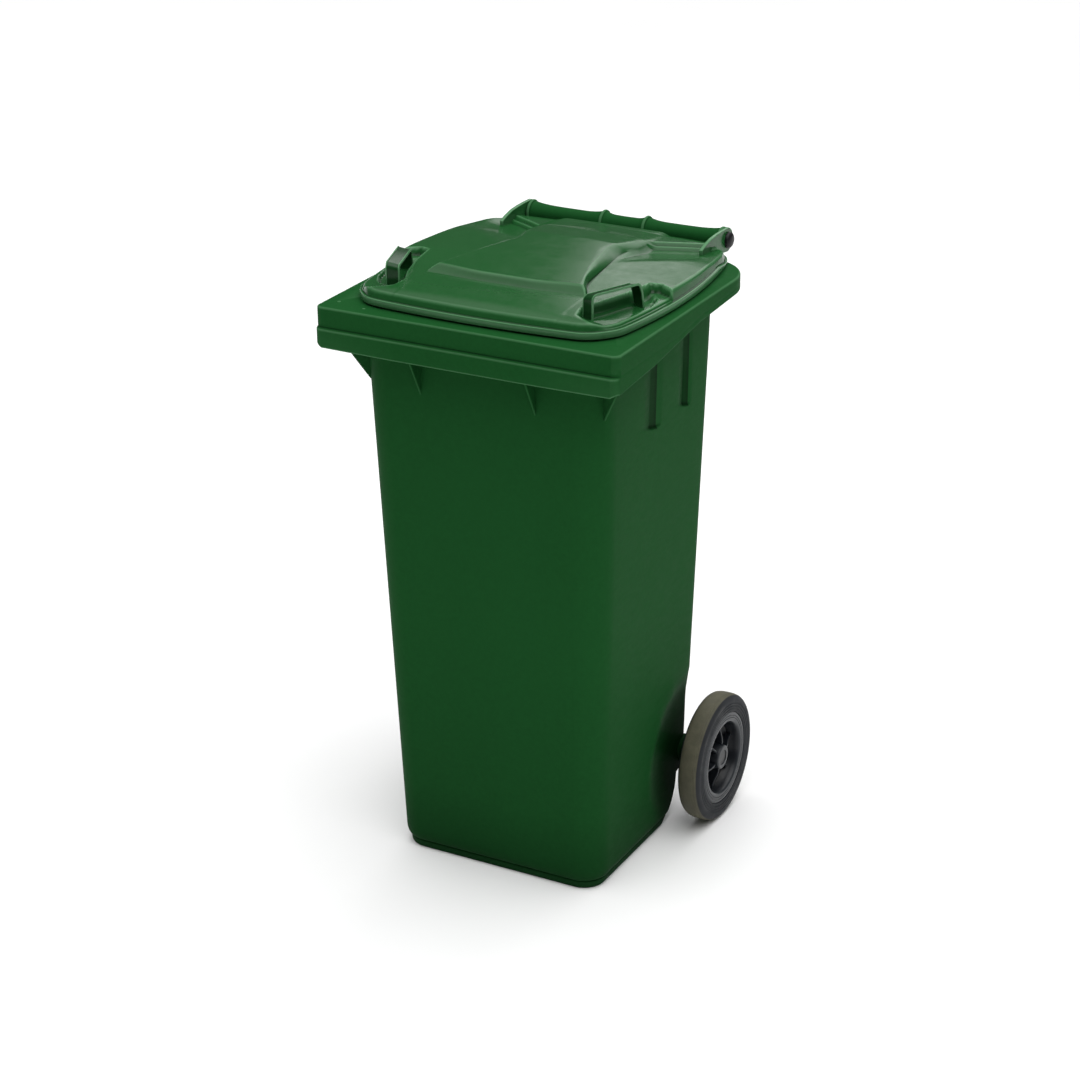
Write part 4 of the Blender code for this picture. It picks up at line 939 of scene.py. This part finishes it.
def hub_rib(side, index):
    """One of the upright ribs between the boss and the dish."""
    outline = [(radius, WHEEL_FACE_X - inwards) for radius, inwards in HUB_RIB]
    angle = 2.0 * math.pi * (index + 0.25) / HUB_RIBS

    def radial(u, v, depth):
        y = u * math.cos(angle) - depth * math.sin(angle)
        z = u * math.sin(angle) + depth * math.cos(angle)
        return (side * v, AXLE_Y + y, AXLE_Z + z)

    return plate("rib", outline, -0.0016, 0.0016, radial, THIN_BEVEL)


def make_hub(word, side, material):
    """The dished wheel centre with its rolled rim, ribs and blind boss."""
    inner, back, seat = HUB_INNER_X, WHEEL_BACK_X, HUB_RADIUS
    profile = from_face([(HUB_BORE_END, 0.0), (HUB_BORE_END, BORE_RADIUS)])
    profile += [(inner, BORE_RADIUS), (inner, 0.0165), (inner + 0.001, 0.0175)] + from_face(HUB_BEHIND)
    profile += [(back + 0.0022, 0.056), (back + 0.001, 0.0572), (back + 0.001, seat - 0.001)]
    profile += [(back + 0.002, seat)]
    profile += from_face([(0.003, seat), (0.0018, seat - 0.0006), (0.0012, seat - 0.0018)])
    for radius in HUB_GROOVES:
        profile += from_face([(0.0012, radius + 0.0007), (0.0019, radius + 0.0003)])
        profile += from_face([(0.0019, radius - 0.0003), (0.0012, radius - 0.0007)])
    profile += from_face(HUB_DISH)
    parts = [turned("dish", profile, (0.0, AXLE_Y, AXLE_Z), 120, side)]
    parts += [hub_rib(side, index) for index in range(HUB_RIBS)]
    finish_piece(joined("wheel_dish_" + word, parts), "wheel_" + word, material, 34.0, "wheel_hub_" + word)


def make_hinge_cap(word, side, material):
    """The black push-in pin with its domed, slightly sunk cap."""
    cap = EAR_OUTER_X + 0.0004
    start = PIN_START_X
    profile = [(start, 0.0), (start, 0.0048), (start + 0.0025, PIN_RADIUS), (cap, PIN_RADIUS)]
    profile += [(cap + outwards, CAP_RADIUS - inwards) for outwards, inwards in CAP_EDGE]
    profile += [(cap + 0.0075, 0.003), (cap + 0.0075, 0.0)]
    pin = turned("hinge_cap_" + word, profile, (0.0, HINGE_Y, HINGE_Z), 72, side)
    finish_piece(pin, "tub", material, 34.0, "hinge_pin_" + word)


# ---- materials
def new_material(name, roughness, metallic=0.0, specular=0.5):
    """A Principled material with its roughness, metalness and specular level set; returns its tree and
    shader too.
    """
    material = bpy.data.materials.new(name)
    material.use_nodes = True
    tree = material.node_tree
    shader = tree.nodes["Principled BSDF"]
    shader.inputs["Roughness"].default_value = roughness
    shader.inputs["Metallic"].default_value = metallic
    shader.inputs["Specular IOR Level"].default_value = specular
    return material, tree, shader


def add_node(tree, kind, inputs, output=0, **settings):
    """A new node whose inputs are fed by sockets or plain values; returns one of its outputs."""
    node = tree.nodes.new("ShaderNode" + kind)
    for key, value in settings.items():
        setattr(node, key, value)
    for key, value in inputs.items():
        if isinstance(value, bpy.types.NodeSocket):
            tree.links.new(value, node.inputs[key])
        else:
            node.inputs[key].default_value = value
    return node.outputs[output]


def noise(tree, scale, detail=4.0, roughness=0.55, stretch=None):
    """A noise texture in object space, stretched along an axis where asked."""
    place = add_node(tree, "TexCoord", {}, "Object")
    if stretch:
        place = add_node(tree, "Mapping", {"Vector": place, "Scale": stretch})
    inputs = {"Vector": place, "Scale": scale, "Detail": detail, "Roughness": roughness}
    return add_node(tree, "TexNoise", inputs, "Fac")


def ramp(tree, value, stops):
    """Colours picked along a value; stops are (position, colour), where one number is a grey."""
    node = tree.nodes.new("ShaderNodeValToRGB")
    elements = node.color_ramp.elements
    places = [position for position, _ in stops]
    colours = [(*(shade if isinstance(shade, tuple) else (shade,) * 3), 1.0) for _, shade in stops]
    for end in (0, -1):
        elements[end].position = places[end]
        elements[end].color = colours[end]
    for position, colour in zip(places[1:-1], colours[1:-1]):
        elements.new(position).color = colour
    tree.links.new(value, node.inputs["Fac"])
    return node.outputs["Color"]


def blended(tree, share, first, second, mode="MIX"):
    """Two colours mixed; share, first and second are sockets or plain values."""
    first, second = ((*value, 1.0) if isinstance(value, tuple) else value for value in (first, second))
    return add_node(tree, "Mix", {0: share, 6: first, 7: second}, 2, data_type="RGBA", blend_type=mode)


def multiplied(tree, first, second):
    return blended(tree, 1.0, first, second, "MULTIPLY")


def ranged(tree, value, low, high, from_low=0.0, from_high=1.0):
    """A value moved from one range to another, and held inside it."""
    inputs = {"Value": value, "From Min": from_low, "From Max": from_high, "To Min": low, "To Max": high}
    return add_node(tree, "MapRange", inputs)


def bumped(tree, shader, layers):
    """Bump from several heights; layers are (socket, strength, distance)."""
    below = {}
    for height, strength, distance in layers:
        inputs = {"Height": height, "Strength": strength, "Distance": distance, **below}
        below = {"Normal": add_node(tree, "Bump", inputs)}
    tree.links.new(below["Normal"], shader.inputs["Normal"])


def scaled(colour, factor):
    return tuple(min(1.0, channel * factor) for channel in colour)


def place_parts(tree):
    """The X, Y and Z sockets of the place on the object."""
    parts = tree.nodes.new("ShaderNodeSeparateXYZ")
    tree.links.new(add_node(tree, "TexCoord", {}, "Object"), parts.inputs["Vector"])
    return tuple(parts.outputs)


def computed(tree, operation, first, second=0.0):
    """A maths node; first and second are sockets or numbers."""
    return add_node(tree, "Math", {0: first, 1: second}, operation=operation)


def moulded_plastic(name, colour, edge_highlight_colour, roughness, specular, grain=1.0, with_painted_shade=False):
    """Satin polyethylene: faint flow marks, fine grain, scuffs, painted highlights on convex edges, painted
    shade in concave creases.

    With painted shade it also darkens towards the ground, around the wheels and in the flutes, and holds the
    painted edge highlights mostly to the rim.
    """
    material, tree, shader = new_material(name, roughness, specular=specular)
    broad = noise(tree, 3.5, 2.0, 0.45, (1.0, 1.0, 0.45))
    base = ramp(tree, broad, [(0.3, scaled(colour, 0.95)), (0.55, colour), (0.75, scaled(colour, 1.05))])
    fine = noise(tree, 160.0, 5.0, 0.6)
    tint_and_crease_shade = multiplied(tree, base, ramp(tree, fine, [(0.35, 0.96), (0.65, 1.04)]))
    bend = tree.nodes.new("ShaderNodeNewGeometry").outputs["Pointiness"]
    # painted shade: concave creases, found by their pointiness, are darkened
    tint_and_crease_shade = multiplied(tree, tint_and_crease_shade, ramp(tree, bend, [(0.45, 0.42), (0.494, 1.0)]))
    # painted highlight: convex edges, found by their pointiness, are mixed towards a paler highlight colour
    edge_highlight = ranged(tree, bend, 0.0, 0.8, 0.506, 0.545)
    # painted highlight: on the body the edge highlights are held mostly to the rim's top and front
    if with_painted_shade:
        edge_highlight = computed(tree, "MULTIPLY", edge_highlight, edge_highlight_share(tree))
    edged = blended(tree, edge_highlight, tint_and_crease_shade, edge_highlight_colour)
    if with_painted_shade:
        # painted shade towards the ground and painted shadow around the wheels
        edged = multiplied(tree, edged, painted_ground_and_wheel_shade(tree, broad))
        # painted shade inside the flutes, darkest at their rear walls
        edged = multiplied(tree, edged, painted_flute_shade(tree))
    tree.links.new(edged, shader.inputs["Base Color"])
    scuffs = noise(tree, 42.0, 6.0, 0.72, (1.0, 1.0, 3.5))
    scuffed = ranged(tree, scuffs, roughness - 0.04, roughness + 0.08, 0.3, 0.7)
    tree.links.new(scuffed, shader.inputs["Roughness"])
    pores = noise(tree, 900.0, 2.0, 0.5)
    layers = [(broad, 0.02, 0.004), (fine, 0.04 * grain, 0.0005), (pores, 0.08 * grain, 0.0002)]
    bumped(tree, shader, layers)
    return material


def edge_highlight_share(tree):
    """How strongly the painted edge highlights show on the body: fully on the rim's top and its front, a
    little below.
    """
    _, y, z = place_parts(tree)
    top = ranged(tree, z, 0.15, 1.0, RIM_TOP_Z - 0.024, RIM_TOP_Z - 0.018)
    band_y = RIM_CENTRE_Y - RIM_HALF_DEPTH - RIM_BAND_PROUD
    front = ranged(tree, y, 1.0, 0.15, band_y + 0.006, band_y + 0.012)
    return computed(tree, "MAXIMUM", top, front)


def painted_ground_and_wheel_shade(tree, unevenness):
    """A grey of painted shade: darker near the ground, and a painted shadow in a disc around the wheels."""
    _, y, z = place_parts(tree)
    uneven = ranged(tree, unevenness, -0.02, 0.02)
    height = computed(tree, "ADD", z, uneven)
    low = ramp(tree, height, [(0.0, 0.38), (0.035, 0.62), (0.12, 0.84), (0.4, 1.0)])
    along = computed(tree, "POWER", computed(tree, "SUBTRACT", y, AXLE_Y), 2.0)
    up = computed(tree, "POWER", computed(tree, "SUBTRACT", z, AXLE_Z), 2.0)
    distance = computed(tree, "ADD", computed(tree, "SQRT", computed(tree, "ADD", along, up)), uneven)
    return multiplied(tree, low, ramp(tree, distance, [(0.06, 0.3), (0.095, 0.55), (0.135, 1.0)]))


def painted_flute_shade(tree):
    """A grey of painted shade that darkens the flutes in the side walls towards their rear ends."""
    x, y, z = place_parts(tree)
    on_wall = ranged(tree, computed(tree, "ABSOLUTE", x), 1.0, 0.0, 0.205, 0.215)
    shade = None
    for (front, rear), (_, high), (_, low) in zip(FLUTES, FLUTE_TILT[1::2], FLUTE_TILT[2::2]):
        share = ranged(tree, y, 0.0, 1.0, RIM_CENTRE_Y + front, RIM_CENTRE_Y + rear + 0.002)
        grey = ramp(tree, share, [(0.0, 1.0), (0.45, 0.78), (0.85, 0.48), (0.985, 0.28), (1.0, 1.0)])
        slope = (high - low) / (rear - front)
        level = computed(tree, "ADD", z, computed(tree, "MULTIPLY", y, slope))
        bottom = FLUTE_BOTTOM_Z + high + slope * (RIM_CENTRE_Y + front)
        above = ranged(tree, level, 0.0, 1.0, bottom - 0.0005, bottom + 0.0015)
        part = blended(tree, computed(tree, "MULTIPLY", above, on_wall), (1.0, 1.0, 1.0), grey)
        shade = part if shade is None else multiplied(tree, shade, part)
    return shade


def rubber(name, tread_colour, wall_colour):
    """Matt rubber with dust in its pores: a browner, worn tread between darker sidewalls."""
    material, tree, shader = new_material(name, 0.6, specular=0.25)
    dust = noise(tree, 28.0, 7.0, 0.7)
    shades = []
    for colour in (tread_colour, wall_colour):
        stops = [(0.3, scaled(colour, 0.75)), (0.52, colour), (0.74, scaled(colour, 1.45))]
        shades.append(ramp(tree, dust, stops))
    x, _, _ = place_parts(tree)
    half = TYRE_WIDTH / 2.0
    from_middle = computed(tree, "SUBTRACT", computed(tree, "ABSOLUTE", x), WHEEL_FACE_X - half)
    wall = ranged(tree, computed(tree, "ABSOLUTE", from_middle), 0.0, 1.0, half - 0.0046, half - 0.0034)
    tree.links.new(blended(tree, wall, *shades), shader.inputs["Base Color"])
    tree.links.new(ranged(tree, dust, 0.45, 0.8, 0.3, 0.7), shader.inputs["Roughness"])
    pores = noise(tree, 650.0, 3.0, 0.6)
    bumped(tree, shader, [(dust, 0.12, 0.0006), (pores, 0.2, 0.0003)])
    return material


def plated_steel(name):
    """Zinc plating: pale metal with cloudy patches and drawn lines along the rod."""
    material, tree, shader = new_material(name, 0.34, metallic=1.0)
    cloud = noise(tree, 60.0, 4.0, 0.6)
    zinc = [(0.3, (0.46, 0.47, 0.48)), (0.6, (0.62, 0.63, 0.64)), (0.8, (0.72, 0.72, 0.7))]
    tree.links.new(ramp(tree, cloud, zinc), shader.inputs["Base Color"])
    drawn = noise(tree, 300.0, 3.0, 0.6, (0.05, 1.0, 1.0))
    tree.links.new(ranged(tree, drawn, 0.24, 0.46, 0.3, 0.7), shader.inputs["Roughness"])
    bumped(tree, shader, [(drawn, 0.08, 0.0002)])
    return material


def dress_node(name, material, bevel=0.0):
    """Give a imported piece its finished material, and round its edges without changing its mesh."""
    node = frame["nodes"][name]
    node.data.materials.clear()
    node.data.materials.append(material)
    if bevel:
        rounding = node.modifiers.new("rounding", "BEVEL")
        rounding.width = bevel
        rounding.segments = 2
        rounding.limit_method = "ANGLE"
        rounding.angle_limit = math.radians(40.0)


# ---- studio
FLOOR_SIZE = 30.0
BACKDROP_RADIUS = 14.0
BACKDROP_HEIGHT = 12.0
HORIZON_STRENGTH = 0.06
OVERHEAD_STRENGTH = 2.2
# the lamps as name, place, target, size and watts
LAMPS = (
    ("top_softbox", (0.9, -0.5, 3.4), (0.0, 0.0, 0.6), (2.6, 2.6), 26.0),
    ("right_softbox", (3.0, -0.4, 1.9), (0.0, 0.0, 0.5), (1.4, 2.0), 5.0),
    ("rear_softbox", (-0.15, 3.4, 2.75), (0.0, 0.0, 0.9), (3.2, 1.5), 29.0),
)
CAMERA_PLACE = (1.809, -3.3314, 2.119)
CAMERA_AZIMUTH = 28.778
CAMERA_ELEVATION = 21.713
CAMERA_ROLL = -0.7246
CAMERA_LENS = 91.916
CAMERA_SHIFT_Y = -0.08335


def make_floor():
    bpy.ops.mesh.primitive_plane_add(size=FLOOR_SIZE, location=(0.0, 0.0, 0.0))
    floor = bpy.context.object
    floor.name = "studio_floor"
    material, tree, shader = new_material("pale_floor", 0.75, specular=0.2)
    mottle = ramp(tree, noise(tree, 2.0, 3.0), [(0.3, 0.92), (0.7, 0.94)])
    tree.links.new(mottle, shader.inputs["Base Color"])
    floor.data.materials.append(material)


def make_backdrop():
    """A pale round wall near the floor's edge, seen past the floor in low views. It lights nothing."""
    bpy.ops.mesh.primitive_cylinder_add(
        radius=BACKDROP_RADIUS,
        depth=BACKDROP_HEIGHT,
        location=(0.0, 0.0, BACKDROP_HEIGHT / 2.0),
        end_fill_type="NOTHING",
    )
    backdrop = bpy.context.object
    backdrop.name = "studio_backdrop"
    backdrop.visible_diffuse = False
    backdrop.visible_glossy = False
    backdrop.visible_shadow = False
    material, _, shader = new_material("pale_backdrop", 1.0, specular=0.0)
    shader.inputs["Base Color"].default_value = (0.0, 0.0, 0.0, 1.0)
    shader.inputs["Emission Color"].default_value = (1.0, 1.0, 1.0, 1.0)
    shader.inputs["Emission Strength"].default_value = 0.97
    material.cycles.emission_sampling = "NONE"
    backdrop.data.materials.append(material)


def soft_light(name, place, target, size, power):
    data = bpy.data.lights.new(name, "AREA")
    data.shape = "RECTANGLE"
    data.size, data.size_y = size
    data.energy = power
    lamp = linked(name, data)
    lamp.location = place
    lamp.rotation_euler = (Vector(target) - Vector(place)).to_track_quat("-Z", "Y").to_euler()


def make_world():
    """A plain surround that is dim around the horizon and brighter overhead."""
    world = bpy.data.worlds.new("studio_world")
    bpy.context.scene.world = world
    world.use_nodes = True
    tree = world.node_tree
    direction = add_node(tree, "TexCoord", {}, "Generated")
    height = add_node(tree, "SeparateXYZ", {"Vector": direction}, "Z")
    background = tree.nodes["Background"]
    background.inputs["Color"].default_value = (1.0, 1.0, 1.0, 1.0)
    strength = ranged(tree, height, HORIZON_STRENGTH, OVERHEAD_STRENGTH, 0.52, 0.9)
    tree.links.new(strength, background.inputs["Strength"])


def make_camera():
    data = bpy.data.cameras.new("camera")
    data.sensor_width = 36.0
    data.lens = CAMERA_LENS
    data.shift_y = CAMERA_SHIFT_Y
    data.clip_end = 50.0
    camera = linked("camera", data)
    azimuth, elevation = math.radians(CAMERA_AZIMUTH), math.radians(CAMERA_ELEVATION)
    back = Vector((
        math.sin(azimuth) * math.cos(elevation),
        -math.cos(azimuth) * math.cos(elevation),
        math.sin(elevation),
    ))
    right = Vector((math.cos(azimuth), math.sin(azimuth), 0.0))
    up = back.cross(right)
    roll = math.radians(CAMERA_ROLL)
    level = right * math.cos(roll) + up * math.sin(roll)
    upright = up * math.cos(roll) - right * math.sin(roll)
    turn = Matrix((level, upright, back)).transposed().to_4x4()
    camera.matrix_world = Matrix.Translation(CAMERA_PLACE) @ turn
    bpy.context.scene.camera = camera


def make_studio():
    make_floor()
    make_backdrop()
    make_world()
    for lamp in LAMPS:
        soft_light(*lamp)
    bpy.context.scene.view_settings.view_transform = "Standard"
    bpy.context.scene.view_settings.look = "None"


# ---- assembly
# colours of the plastics and of the painted highlights on their edges, then of the tyres
BODY_GREEN, BODY_EDGE_HIGHLIGHT = (0.0098, 0.073, 0.017), (0.07, 0.19, 0.085)
LID_GREEN, LID_EDGE_HIGHLIGHT = (0.013, 0.086, 0.021), (0.085, 0.235, 0.105)
HUB_GREY, HUB_EDGE_HIGHLIGHT = (0.008, 0.01, 0.013), (0.022, 0.027, 0.032)
CAP_BLACK, CAP_EDGE_HIGHLIGHT = (0.004, 0.004, 0.005), (0.01, 0.01, 0.011)
TREAD_GREY, SIDEWALL_GREY = (0.09, 0.086, 0.058), (0.016, 0.018, 0.021)


def main():
    body_plastic = moulded_plastic("green_polyethylene", BODY_GREEN, BODY_EDGE_HIGHLIGHT, 0.5, 0.015, with_painted_shade=True)
    lid_plastic = moulded_plastic("lid_polyethylene", LID_GREEN, LID_EDGE_HIGHLIGHT, 0.17, 0.2, grain=0.3)
    hub_plastic = moulded_plastic("dark_hub_plastic", HUB_GREY, HUB_EDGE_HIGHLIGHT, 0.3, 0.3)
    nylon = moulded_plastic("black_nylon", CAP_BLACK, CAP_EDGE_HIGHLIGHT, 0.4, 0.2)
    tyre_rubber = rubber("grey_rubber", TREAD_GREY, SIDEWALL_GREY)
    steel = plated_steel("zinc_plated_steel")

    make_body(body_plastic)
    make_lid(lid_plastic)
    dress_node("axle", steel)
    dress_node("chip_nest_plug", body_plastic, 0.0004)
    for word, side in (("left", -1.0), ("right", 1.0)):
        make_hinge_cap(word, side, nylon)
        make_hub(word, side, hub_plastic)
        make_tyre(word, side, tyre_rubber)
        dress_node("axle_washer_" + word, steel, 0.0003)
        dress_node("lock_pin_" + word, nylon, 0.0003)
        dress_node("lock_spring_" + word, steel)
    make_studio()
    make_camera()


main()
